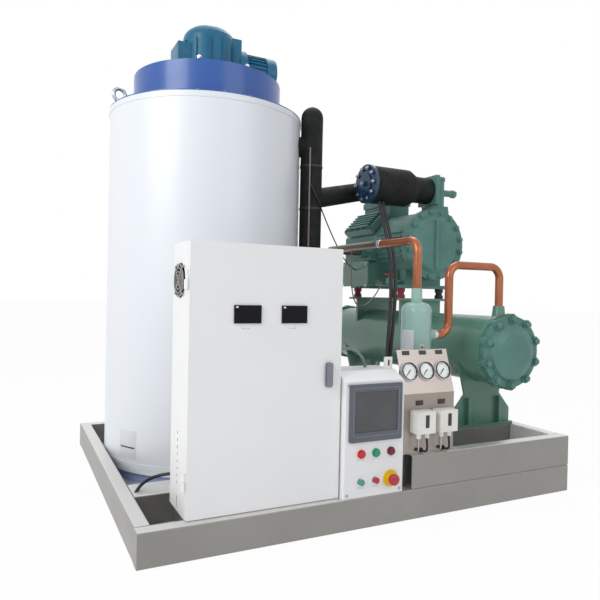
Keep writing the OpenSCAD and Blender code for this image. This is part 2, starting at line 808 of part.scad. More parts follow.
// Condenser
module condenser_shell() {
  color("seagreen") {
    difference() {
      union() {
        translate([cond_x, shell_y1, cond_z]) rotate([90, 0, 0]) cylinder(h = shell_l, r = shell_r, $fn = 96);
        for (y = [shell_y0, shell_y1 - 22])
          translate([cond_x, y + 22, cond_z]) rotate([90, 0, 0]) cylinder(h = 22, r = cap_r, $fn = 96);
        translate([cond_x, nozzle_y, cond_z + shell_r - 8]) cylinder(h = nozzle_h + 8, r1 = 30, r2 = 24);
      }
      translate([cond_x, nozzle_y, cond_z + shell_r + 10]) cylinder(h = nozzle_h, r = copper_r + 0.1);
    }
    translate([cond_x, shell_y1 - 300, cond_z - shell_r - 40]) cylinder(h = 60, r = 21);
  }
}

module saddle_profile() {
  w = 166;
  z = cond_z - tray_top;
  difference() {
    polygon([[-w, 0], [w, 0], [w, 71], [shell_r - 48, 145], [shell_r - 10, z - 60], [10 - shell_r, z - 60], [48 - shell_r, 145], [-w, 71]]);
    translate([0, z]) circle(shell_r + seat, $fn = 96);
  }
}

module condenser_saddles() {
  color("seagreen") for (y = saddle_y) {
    translate([cond_x, y + saddle_t / 2, tray_top]) rotate([90, 0, 0]) linear_extrude(saddle_t) saddle_profile();
    block([cond_x - 166, y - 30, tray_top], [cond_x + 166, y + 30, tray_top + 12]);
    for (x = [cond_x - 90, cond_x + 90])
      block([x - 6, y - 28, tray_top + 10], [x + 6, y + 28, tray_top + 130]);
  }
}

module end_cap(lift) {
  color("seagreen") {
    cylinder(h = 24, r = cap_r - 8, $fn = 96);
    translate([0, 0, 22]) cylinder(h = cap_d - 34, r1 = shell_r - 22, r2 = shell_r - 34, $fn = 96);
    translate([0, 0, cap_d - 13]) cylinder(h = lift, r1 = shell_r - 34, r2 = shell_r - 70, $fn = 96);
    for (i = [0 : cap_bolts - 1])
      rotate([0, 0, (i + 0.5) * 360 / cap_bolts]) translate([bolt_pcd, 0, 0]) {
        cylinder(h = 30, r = 21, $fn = 32);
        translate([0, 0, 29]) hex_bolt(14, 14);
      }
  }
}

module front_cap() {
  facing_front(cond_x, shell_y0 - seat, cond_z) end_cap(13);
}

module rear_cap() {
  translate([cond_x, shell_y1 + seat, cond_z]) rotate([-90, 0, 0]) color("seagreen") difference() {
    union() {
      end_cap(13);
      for (s = [-1, 1])
        translate([0, s * 62, 20]) cylinder(h = 62, r = 42);
    }
    for (s = [-1, 1])
      translate([0, s * 62, 30]) cylinder(h = 60, r = 30);
  }
}

// Compressor set
module compressor_brackets() {
  color("seagreen") for (y = mount_y) {
    difference() {
      block([cond_x - 128, y - 8, cond_z + 60], [cond_x + 128, y + 8, bracket_top - 11]);
      translate([cond_x, y + 20, cond_z]) rotate([90, 0, 0]) cylinder(h = 40, r = shell_r + seat, $fn = 96);
    }
    block([cond_x - 160, y - 34, bracket_top - 12], [cond_x + 160, y + 34, bracket_top]);
  }
}

module rubber_mounts() {
  color("firebrick") for (x = mount_x) for (y = mount_y)
    translate([x, y, bracket_top]) {
      cylinder(h = 18, r = mount_r);
      translate([0, 0, 16]) cylinder(h = mount_h - 32, r = mount_r - 5);
      translate([0, 0, mount_h - 18]) cylinder(h = 18, r = mount_r);
    }
}

module bank(a, top) {
  inset = a == 0 ? 34 : 37;
  translate([cond_x, crank_y + inset, crank_z]) rotate([0, a, 0]) translate([-bank_w / 2, 0, 60]) cube([bank_w, crank_l - 6 - 2 * inset, top - 60]);
}

bank_turn = [-46, 0, 46];
bank_reach = [176, 236, 176];
head_t = 40;

module crankcase() {
  low = comp_z - crank_z;
  color("seagreen") {
    facing_front(cond_x, crank_y + 20, crank_z) cylinder(h = motor_house_l - 2, r = comp_r, $fn = 96);
    facing_front(cond_x, comp_y + 44, crank_z) cylinder(h = 22, r = comp_r + 10, $fn = 96);
    translate([cond_x, comp_end, crank_z]) rotate([90, 0, 0]) linear_extrude(crank_l)
      polygon([[-130, low + 16], [130, low + 16], [165, low + 60], [165, 60], [100, 140], [-100, 140], [-165, 60], [-165, low + 60]]);
    facing_front(cond_x, comp_end + 34, crank_z - 10) cylinder(h = 40, r = 96);
    facing_front(cond_x, comp_end + 52, crank_z - 10) cylinder(h = 20, r = 52);
    for (i = [0 : 2]) bank(bank_turn[i], bank_reach[i]);
    for (y = mount_y)
      block([cond_x - 152, y - 32, comp_z], [cond_x + 152, y + 32, comp_z + 18]);
    block([cond_x - 112, mount_y[0] - 24, comp_z + 16], [cond_x + 112, mount_y[0] + 24, crank_z - 90]);
    block([pad_x - 50, suction_y - 50, crank_z + 60], [pad_x + 50, suction_y + 50, pad_z]);
    for (i = [0 : 6])
      translate([cond_x, comp_y + 60, crank_z]) rotate([0, 8 * i - 118, 0]) translate([-3, 0, comp_r - 8]) cube([6, motor_house_l - 70, 18]);
    block([cond_x - 190, discharge_y - 44, discharge_z - 44], [cond_x - 160, discharge_y + 44, discharge_z + 44]);
    rod([cond_x - 100, valve_y, valve_z], [valve_x + 15, valve_y, valve_z], 9);
  }
}

module motor_cover() {
  color("seagreen") facing_front(cond_x, comp_y + 22 - seat, crank_z) {
    cylinder(h = 18, r = comp_r + 10, $fn = 96);
    translate([0, 0, 16]) cylinder(h = 14, r1 = comp_r - 20, r2 = comp_r - 42, $fn = 96);
    translate([-9, -120, 20]) cube([18, 240, 20]);
    for (i = [0 : 15])
      rotate([0, 0, 22.5 * i + 11.25]) translate([comp_r - 4, 0, 0]) {
        cylinder(h = 22, r = 15, $fn = 32);
        translate([0, 0, 21]) hex_bolt(10, 10);
      }
  }
}

module cylinder_heads() {
  color("seagreen") for (i = [0 : 2])
    translate([cond_x, crank_y + 29, crank_z]) rotate([0, bank_turn[i], 0]) translate([-bank_w / 2 - 8, 0, bank_reach[i] + seat]) {
      cube([bank_w + 16, crank_l - 64, head_t - 8]);
      for (k = [0 : 5])
        translate([14 + k * (bank_w - 20) / 5, 22, head_t - 10]) cube([7, crank_l - 108, 18]);
      for (x = [10, bank_w + 6]) for (k = [0 : 4])
        translate([x, 12 + k * (crank_l - 88) / 4, head_t - 9]) hex_bolt(8, 9);
    }
}

module terminal_box() {
  color("seagreen") {
    translate([side_x - seat, crank_y + 130, comp_z + 76]) rotate([90, 0, -90]) round_plate(250, 128, 8, 48);
    translate([side_x - 46, crank_y + 130, comp_z + 76]) rotate([90, 0, -90]) round_plate(258, 136, 8, 10);
    for (y = [60, 110])
      translate([side_x - 24, crank_y + y, comp_z - 2]) cylinder(h = 16, r = 14);
  }
}

module stop_valves() {
  color("seagreen") {
    translate([pad_x, suction_y, pad_z + seat]) {
      translate([-48, -48, 0]) cube([96, 96, 22]);
      cylinder(h = 158, r = 46);
      translate([0, 0, 156]) cylinder(h = 16, r = 50);
      translate([-52, 0, 100]) rotate([0, 90, 0]) cylinder(h = 52, r = 50);
      translate([-52, -74, 26]) cube([22, 148, 148]);
      translate([30, 0, 100]) rotate([0, 90, 0]) cylinder(h = 76, r = 17);
      translate([104, 0, 100]) rotate([0, 90, 0]) hex_bolt(21, 24);
    }
    translate([cond_x - 190 - seat, discharge_y, discharge_z]) rotate([0, -90, 0]) difference() {
      union() {
        translate([-42, -42, 0]) cube([84, 84, 18]);
        cylinder(h = 56, r = 30);
        translate([12, 0, 34]) rotate([90, 0, 0]) cylinder(h = 62, r = 13);
        translate([12, -60, 34]) rotate([90, 0, 0]) hex_bolt(16, 16);
      }
      translate([0, 0, 30]) cylinder(h = 40, r = copper_r + 0.1);
    }
    translate([valve_x - seat, valve_y, valve_z]) {
      translate([-15, -15, -15]) cube(30);
      cylinder(h = 30, r = 9);
      cylinder(h = 42, r = 5);
    }
  }
}

module valve_wheel() {
  color("firebrick") translate([valve_x - seat, valve_y, valve_z + 30.3]) {
    ring(5 + run_gap, 9, 10);
    ring(18, 25, 8);
    for (a = [0, 60, 120])
      rotate([0, 0, a]) for (s = [-1, 1])
        translate([s * 13.5 - 6, -2, 2]) cube([12, 4, 4]);
  }
}

// Suction side
module suction_filter() {
  color("black") translate([filter_x0 + filter_cover_t, suction_y, suction_z]) rotate([0, 90, 0]) {
    cylinder(h = filter_x1 - filter_x0 - filter_cover_t - 50, r = filter_r);
    translate([0, 0, filter_x1 - filter_x0 - filter_cover_t - 51]) cylinder(h = 52, r1 = filter_r, r2 = 66);
    cylinder(h = pad_x - 52 - filter_x0 - filter_cover_t - seat, r = 66);
  }
}

module filter_cover() {
  color("navy") translate([filter_x0 + filter_cover_t - seat, suction_y, suction_z]) rotate([0, -90, 0]) {
    cylinder(h = filter_cover_t - 6, r = filter_r + 3);
    translate([0, 0, filter_cover_t - 7]) cylinder(h = 8, r = 52);
    cylinder(h = filter_cover_t + 14, r = 13);
    for (i = [0 : 9])
      rotate([0, 0, 36 * i + 18]) translate([filter_r - 15, 0, filter_cover_t - 7]) hex_bolt(9, 9);
  }
}

module suction_line() {
  turn = [0, 0, riser_a];
  bulge = riser_r + 0.4;
  neck = riser_top - riser_r;
  dome = [for (i = [0 : 4]) [bulge * cos(18 * i), neck + riser_r * sin(18 * i)]];
  color("black") {
    translate([drum_x, drum_y, 0]) rotate(turn) {
      pipe_run([[riser_d, 0, neck - 20], [riser_d, 0, riser_low + riser_r], [drum_r + 0.3, 0, riser_low + riser_r]], riser_r, riser_r + 1);
      translate([riser_d, 0, 0]) rotate_extrude() polygon(concat([[0, neck - 60], [bulge, neck - 60]], dome, [[0, riser_top]]));
      rod([drum_r + 0.3, 0, stub_z], [riser_d, 0, stub_z], riser_r - 4);
    }
    rod(branch_start, branch_end, branch_r);
    translate(branch_end) sphere(branch_r + 4);
    rod(branch_end, [branch_end[0], suction_y + filter_r + 0.3, branch_end[2]], branch_r - 2);
  }
}

// Oil separator and copper pipes
module oil_separator() {
  dome = [for (i = [0 : 5]) [sep_r - 42 + 42 * cos(18 * i), sep_h - 44 + 38 * sin(18 * i)]];
  color("cadetblue") translate([sep_x, sep_y, tray_floor]) {
    difference() {
      union() {
        cylinder(h = 10, r = sep_r + 5);
        rotate_extrude() polygon(concat([[0, 4], [sep_r, 4]], dome, [[0, sep_h - 6]]));
        translate([0, 0, sep_h - 12]) cylinder(h = 60, r = 22);
        translate([0, 0, outlet_z - tray_floor]) rotate([0, 90, 0]) cylinder(h = sep_r + 24, r = 22);
      }
      translate([0, 0, sep_h + 20]) cylinder(h = 60, r = copper_r + 0.1);
      translate([sep_r, 0, outlet_z - tray_floor]) rotate([0, 90, 0]) cylinder(h = 60, r = copper_r + 0.1);
    }
  }
}

module copper_pipes() {
  color("peru") {
    pipe_run([[cond_x - 221, discharge_y, discharge_z], [sep_x, discharge_y, discharge_z],
      [sep_x, sep_y, discharge_z], [sep_x, sep_y, sep_top + 21]], copper_r, copper_bend);
    pipe_run([[sep_x + sep_r + 1, sep_y, outlet_z], [hot_x, sep_y, outlet_z], [hot_x, sep_y, hot_z],
      [cond_x, nozzle_y, hot_z], [cond_x, nozzle_y, cond_z + shell_r + 11]], copper_r, copper_bend);
  }
}

base_rails();
side_rails();
floor_pan();
tray_rims();
tray_sides();
base_ring();
drum_jacket();
drum_insulation();
evaporator_wall();
drum_lid();
lifting_eyes();
shaft_bearings();
main_shaft();
ice_scraper();
water_pan();
gear_reducer();
drive_motor();
cabinet_body();
cabinet_door();
door_displays();
door_latch();
switchgear();
fan_housing();
fan_rotor();
control_box();
control_panel();
screen_bezel();
touch_screen();
lamps();
button_collars();
start_button();
stop_button();
estop_collar();
estop_plunger();
estop_head();
gauge_board();
gauge_cases();
gauge_lenses();
needle_left();
needle_middle();
needle_right();
pressure_switches();
gauge_hoses();
condenser_shell();
condenser_saddles();
front_cap();
rear_cap();
compressor_brackets();
rubber_mounts();
crankcase();
motor_cover();
cylinder_heads();
terminal_box();
stop_valves();
suction_filter();
filter_cover();
suction_line();
oil_separator();
copper_pipes();
valve_wheel();
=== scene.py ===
import json
import math

import bmesh
import bpy
from bpy.props import FloatProperty, FloatVectorProperty, PointerProperty
from mathutils import Matrix, Vector


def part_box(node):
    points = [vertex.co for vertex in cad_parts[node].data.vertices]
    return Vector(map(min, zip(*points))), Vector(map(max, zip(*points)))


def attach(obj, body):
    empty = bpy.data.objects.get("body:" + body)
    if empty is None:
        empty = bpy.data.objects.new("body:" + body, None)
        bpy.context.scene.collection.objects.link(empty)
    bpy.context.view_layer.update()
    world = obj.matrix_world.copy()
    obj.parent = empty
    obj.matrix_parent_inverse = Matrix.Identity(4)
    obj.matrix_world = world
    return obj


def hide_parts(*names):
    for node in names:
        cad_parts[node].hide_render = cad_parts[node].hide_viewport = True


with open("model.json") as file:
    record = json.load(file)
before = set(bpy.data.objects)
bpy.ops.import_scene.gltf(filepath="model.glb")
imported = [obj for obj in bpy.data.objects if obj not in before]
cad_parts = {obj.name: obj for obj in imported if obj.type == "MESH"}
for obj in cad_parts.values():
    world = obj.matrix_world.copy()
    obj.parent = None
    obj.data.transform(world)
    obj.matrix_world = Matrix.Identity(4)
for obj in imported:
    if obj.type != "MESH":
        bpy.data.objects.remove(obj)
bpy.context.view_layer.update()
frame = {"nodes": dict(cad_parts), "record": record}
NODES = frame["nodes"]

bl_info = {
    "name": "Flake ice machine finish",
    "version": (1, 0, 0),
    "blender": (4, 5, 0),
    "location": "View3D > Sidebar > Ice machine",
    "description": "Dresses the packed flake ice machine with its finishes and small fittings",
    "category": "Object",
}


def linear(code):
    """Turn an sRGB hex value into linear red, green and blue."""
    shares = [int(code[i : i + 2], 16) / 255 for i in (1, 3, 5)]
    return tuple(c / 12.92 if c <= 0.04045 else ((c + 0.055) / 1.055) ** 2.4 for c in shares)


def colour(name, code, words):
    return FloatVectorProperty(
        name=name, description=words, subtype="COLOR", size=3, min=0.0, max=1.0, default=linear(code)
    )


def length(name, metres, words):
    return FloatProperty(
        name=name, description=words, subtype="DISTANCE", unit="LENGTH", default=metres, min=0.0
    )


def angle(name, degrees, words):
    return FloatProperty(
        name=name, description=words, subtype="ANGLE", unit="ROTATION", default=math.radians(degrees)
    )


def amount(name, value, words):
    return FloatProperty(name=name, description=words, default=value, min=0.0)


class FlakeColours(bpy.types.PropertyGroup):
    """Paint and plastic colours of the machine."""

    drum_white: colour("Drum white", "#E8EDF4", "White of the drum jacket")
    lid_blue: colour("Lid blue", "#285AA8", "Blue of the lid and its collar")
    # Ring blue is the blue paint made paler as painted light on the shaded ring under the drum.
    ring_blue_painted_light: colour("Ring blue", "#9FB6F0", "Paler blue of the ring under the drum")
    drive_teal: colour("Drive teal", "#276E90", "Blue-green of the gear reducer and motor")
    set_green: colour("Set green", "#5B8776", "Green of the condenser and its saddles")
    casting_green: colour("Casting green", "#5A877F", "Bluer green of the compressor and the end caps")
    separator_green: colour("Separator green", "#9CC2B9", "Paler green of the oil separator")
    cover_navy: colour("Cover navy", "#1C3A5A", "Dark blue of the filter cover")
    cabinet_white: colour("Cabinet white", "#EFF0F2", "Powder coat of the cabinet and operator box")
    bezel_grey: colour("Bezel grey", "#5A606C", "Plastic of the screen surround")
    lamp_red: colour("Lamp red", "#CC1E28", "Left lamp")
    lamp_green: colour("Lamp green", "#1C9468", "Middle lamp")
    lamp_dark: colour("Lamp dark red", "#74162A", "Right lamp, unlit")
    stop_red: colour("Stop red", "#B52B3C", "Stop button and emergency stop head")
    start_green: colour("Start green", "#4E9C86", "Start button")
    stop_yellow: colour("Stop yellow", "#EBC21C", "Collar of the emergency stop")
    copper: colour("Copper", "#A96545", "Bright drawn copper tube")


class FlakeSizes(bpy.types.PropertyGroup):
    """Sizes of the small fittings that are added to the solids."""

    screw_head: length("Screw head", 0.0045, "Radius of the panel screws")
    bolt_head: length("Bolt head", 0.008, "Radius of the flange bolts")
    tick_length: length("Dial tick", 0.0045, "Length of the long ticks on a gauge dial")
    cable: length("Cable", 0.011, "Diameter of the grey cable between the two boxes")
    hose: length("Hose", 0.016, "Diameter of the black hoses")


class FlakeStage(bpy.types.PropertyGroup):
    """Camera and light."""

    lens: FloatProperty(
        name="Lens", description="Focal length on a 36 mm sensor", default=35.04, min=10.0
    )
    camera_place: FloatVectorProperty(
        name="Camera place",
        description="Where the camera stands",
        subtype="XYZ",
        unit="LENGTH",
        size=3,
        default=(-1.2363, -2.4869, 0.8139),
    )
    yaw: angle("Yaw", 26.33, "Turn from +Y towards +X")
    pitch: angle("Pitch", -0.584, "Tilt above level")
    roll: angle("Roll", 1.197, "Turn about the view")
    key_light: amount("Key light", 108.0, "Power of the key lamp in watts")
    room_light: amount("Room light", 0.5, "Strength of the even light")


# Materials


def add(tree, kind, settings=None, links=None):
    """Add a node, set its sockets or properties, and link sockets into it."""
    node = tree.nodes.new(kind)
    for key, value in (settings or {}).items():
        if isinstance(key, int) or key in node.inputs:
            node.inputs[key].default_value = value
        else:
            setattr(node, key, value)
    for key, socket in (links or {}).items():
        tree.links.new(socket, node.inputs[key])
    return node


def blank(name):
    """A material with only a Principled shader and its output, and Object coordinates."""
    mat = bpy.data.materials.new(name)
    mat.use_nodes = True
    tree = mat.node_tree
    tree.nodes.clear()
    shader = add(tree, "ShaderNodeBsdfPrincipled")
    add(tree, "ShaderNodeOutputMaterial", {}, {"Surface": shader.outputs["BSDF"]})
    where = add(tree, "ShaderNodeTexCoord").outputs["Object"]
    return mat, tree, shader, where


def shade(rgb, factor):
    """A colour times a factor, with its alpha."""
    return tuple(min(1.0, c * factor) for c in rgb) + (1.0,)


def vary(tree, shader, where, rgb, patch, low, high):
    """Let the base colour drift between two shades over patches of that size in metres."""
    noise = add(
        tree,
        "ShaderNodeTexNoise",
        {"Scale": 1.0 / patch, "Detail": 5.0, "Roughness": 0.55},
        {"Vector": where},
    )
    ramp = add(tree, "ShaderNodeValToRGB", {}, {"Fac": noise.outputs["Fac"]})
    ramp.color_ramp.elements[0].position = 0.32
    ramp.color_ramp.elements[1].position = 0.68
    ramp.color_ramp.elements[0].color = shade(rgb, low)
    ramp.color_ramp.elements[1].color = shade(rgb, high)
    tree.links.new(ramp.outputs["Color"], shader.inputs["Base Color"])
    return ramp


def roughen(tree, shader, where, patch, low, high):
    """Let the roughness drift between two values over patches of that size in metres."""
    noise = add(tree, "ShaderNodeTexNoise", {"Scale": 1.0 / patch, "Detail": 4.0}, {"Vector": where})
    span = add(
        tree,
        "ShaderNodeMapRange",
        {"From Min": 0.3, "From Max": 0.7, "To Min": low, "To Max": high},
        {"Value": noise.outputs["Fac"]},
    )
    tree.links.new(span.outputs["Result"], shader.inputs["Roughness"])


def emboss(tree, shader, where, grain, strength, height, detail=2.0):
    """Raise a fine grain of that size in metres as bump."""
    noise = add(tree, "ShaderNodeTexNoise", {"Scale": 1.0 / grain, "Detail": detail}, {"Vector": where})
    bump = add(
        tree, "ShaderNodeBump", {"Strength": strength, "Distance": height}, {"Height": noise.outputs["Fac"]}
    )
    tree.links.new(bump.outputs["Normal"], shader.inputs["Normal"])


def sprayed_enamel(name, rgb, rough, peel=0.005, strength=0.12, drift=(0.95, 1.04), patch=0.35, film=0.12):
    """Sprayed enamel on sheet steel: gloss over faint orange peel, drawn at 5 mm or more so that it shows.

    film is the roughness of the clear layer: low where lamps mirror sharply, high on the dulled drum.
    """
    mat, tree, shader, where = blank(name)
    vary(tree, shader, where, rgb, patch, *drift)
    roughen(tree, shader, where, 0.12, *rough)
    emboss(tree, shader, where, peel, strength, 0.0004)
    shader.inputs["IOR"].default_value = 1.5
    shader.inputs["Coat Weight"].default_value = 0.25
    shader.inputs["Coat Roughness"].default_value = film
    return mat


def painted_casting(name, rgb, grain=0.007):
    """Enamel over sand-cast iron: soft dimples of 6 to 7 mm under a low gloss, with patches of dust."""
    mat, tree, shader, where = blank(name)
    ramp = vary(tree, shader, where, rgb, 0.16, 0.84, 1.1)
    roughen(tree, shader, where, 0.06, 0.26, 0.46)
    emboss(tree, shader, where, grain, 0.35, 0.0012, 4.0)
    dust = add(tree, "ShaderNodeTexNoise", {"Scale": 9.0, "Detail": 8.0, "Roughness": 0.7}, {"Vector": where})
    keep = add(
        tree,
        "ShaderNodeMapRange",
        {"From Min": 0.56, "From Max": 0.78, "To Min": 0.0, "To Max": 0.35},
        {"Value": dust.outputs["Fac"]},
    )
    mix = add(
        tree,
        "ShaderNodeMix",
        {"data_type": "RGBA", 7: shade(linear("#8FA79C"), 1.0)},
        {"Factor": keep.outputs["Result"], 6: ramp.outputs["Color"]},
    )
    tree.links.new(mix.outputs[2], shader.inputs["Base Color"])
    shader.inputs["IOR"].default_value = 1.5
    shader.inputs["Specular IOR Level"].default_value = 0.28
    return mat


def powder_coat(name, rgb):
    """Baked powder coat: an even satin with fine leathery texture, drawn at 2.5 mm so that it shows."""
    mat, tree, shader, where = blank(name)
    vary(tree, shader, where, rgb, 0.5, 0.97, 1.02)
    roughen(tree, shader, where, 0.2, 0.36, 0.46)
    emboss(tree, shader, where, 0.0025, 0.1, 0.0003)
    shader.inputs["IOR"].default_value = 1.5
    return mat


SHEET_GREY = linear("#918F8C")
# Paler colour for faces that look up: a painted highlight of the light from above.
SHEET_PAINTED_TOP_LIGHT = linear("#DEDDDA")
# Pale sheet colour: a painted reflection of the white room in the floor pan and inside the tray.
SHEET_PAINTED_REFLECTION = linear("#F2F1EF")


def brushed_stainless(
    name, along, rgb=SHEET_GREY, rough=(0.3, 0.42), metallic=0.65, top=SHEET_PAINTED_TOP_LIGHT, tilt=(0.6, 0.95)
):
    """Brushed stainless sheet: fine streaks along the grit's path, drawn 1.6 mm wide so that they show.

    Faces that look up turn towards the colour top, a painted highlight of the light from above; tilt is the
    span of the upward part of the normal.
    """
    mat, tree, shader, where = blank(name)
    line = 0.0016
    stretch = [1.0 / line] * 3
    stretch[along] = 3.0
    brush = add(tree, "ShaderNodeMapping", {"Scale": stretch}, {"Vector": where})
    grey = vary(tree, shader, where, rgb, 0.22, 0.95, 1.05)
    # Mix towards the top colour on faces that look up: a painted highlight of the light from above.
    apart = add(tree, "ShaderNodeSeparateXYZ", {}, {"Vector": where.node.outputs["Normal"]})
    lit_from_above = add(
        tree, "ShaderNodeMapRange", {"From Min": tilt[0], "From Max": tilt[1]}, {"Value": apart.outputs["Z"]}
    )
    mix = add(
        tree,
        "ShaderNodeMix",
        {"data_type": "RGBA", 7: shade(top, 1.0)},
        {"Factor": lit_from_above.outputs["Result"], 6: grey.outputs["Color"]},
    )
    tree.links.new(mix.outputs[2], shader.inputs["Base Color"])
    roughen(tree, shader, brush.outputs["Vector"], 1.0, *rough)
    emboss(tree, shader, brush.outputs["Vector"], 1.0, 0.05, 0.0002)
    shader.inputs["Metallic"].default_value = metallic
    return mat


def bare_metal(name, rgb, rough=(0.22, 0.36), patch=0.05, metallic=1.0):
    """Turned, plated or polished metal with faint handling marks."""
    mat, tree, shader, where = blank(name)
    vary(tree, shader, where, rgb, patch, 0.9, 1.06)
    roughen(tree, shader, where, patch * 0.5, *rough)
    emboss(tree, shader, where, 0.002, 0.05, 0.0002)
    shader.inputs["Metallic"].default_value = metallic
    return mat


def drawn_copper(name, rgb):
    """Bright drawn copper tube with brown heat tint and finger marks.

    The back of the long run is tarnished, behind Y of about -0.3 m.
    """
    mat, tree, shader, where = blank(name)
    bright = vary(tree, shader, where, rgb, 0.07, 0.86, 1.1)
    roughen(tree, shader, where, 0.05, 0.17, 0.28)
    emboss(tree, shader, where, 0.006, 0.04, 0.0003)
    apart = add(tree, "ShaderNodeSeparateXYZ", {}, {"Vector": where})
    fade = add(
        tree,
        "ShaderNodeMapRange",
        {"From Min": -0.31, "From Max": -0.28, "To Min": 0.0, "To Max": 1.0},
        {"Value": apart.outputs["Y"]},
    )
    mix = add(
        tree,
        "ShaderNodeMix",
        {"data_type": "RGBA", 7: shade(linear("#6E6258"), 1.0)},
        {"Factor": fade.outputs["Result"], 6: bright.outputs["Color"]},
    )
    tree.links.new(mix.outputs[2], shader.inputs["Base Color"])
    shader.inputs["Metallic"].default_value = 0.5
    return mat


def foam_rubber(name, rgb, grain=0.006):
    """Closed-cell rubber insulation: a dull black skin with soft pores, drawn at 6 mm so that they show."""
    mat, tree, shader, where = blank(name)
    vary(tree, shader, where, rgb, 0.09, 0.7, 1.5)
    roughen(tree, shader, where, 0.05, 0.6, 0.82)
    emboss(tree, shader, where, grain, 0.4, 0.001, 3.0)
    shader.inputs["Specular IOR Level"].default_value = 0.25
    return mat


def moulded(name, rgb, rough=(0.3, 0.45), grain=0.0015, strength=0.12, gloss=0.5):
    """Injection-moulded plastic: an even satin with a fine spark texture."""
    mat, tree, shader, where = blank(name)
    vary(tree, shader, where, rgb, 0.08, 0.93, 1.06)
    roughen(tree, shader, where, 0.03, *rough)
    emboss(tree, shader, where, grain, strength, 0.0002)
    shader.inputs["IOR"].default_value = 1.5
    shader.inputs["Specular IOR Level"].default_value = gloss
    return mat


def split_along_x(mat, left, rows):
    """Give one finish several colours by its place along X: the leftmost, then rows of (start, colour)."""
    tree = mat.node_tree
    shader = [n for n in tree.nodes if n.type == "BSDF_PRINCIPLED"][0]
    where = [n for n in tree.nodes if n.type == "TEX_COORD"][0].outputs["Object"]
    apart = add(tree, "ShaderNodeSeparateXYZ", {}, {"Vector": where})
    socket = add(tree, "ShaderNodeRGB").outputs[0]
    socket.default_value = shade(left, 1.0)
    for start, rgb in rows:
        past = add(
            tree, "ShaderNodeMath", {"operation": "GREATER_THAN", 1: start}, {0: apart.outputs["X"]}
        )
        mix = add(
            tree,
            "ShaderNodeMix",
            {"data_type": "RGBA", 7: shade(rgb, 1.0)},
            {"Factor": past.outputs[0], 6: socket},
        )
        socket = mix.outputs[2]
    tree.links.new(socket, shader.inputs["Base Color"])
    return mat


def clear_glass(name):
    """Flat gauge glass: clear, with a faint smear of roughness."""
    mat, tree, shader, where = blank(name)
    roughen(tree, shader, where, 0.01, 0.02, 0.07)
    shader.inputs["Base Color"].default_value = (0.96, 0.98, 0.98, 1.0)
    shader.inputs["Transmission Weight"].default_value = 1.0
    shader.inputs["IOR"].default_value = 1.05
    return mat


MATS = {}


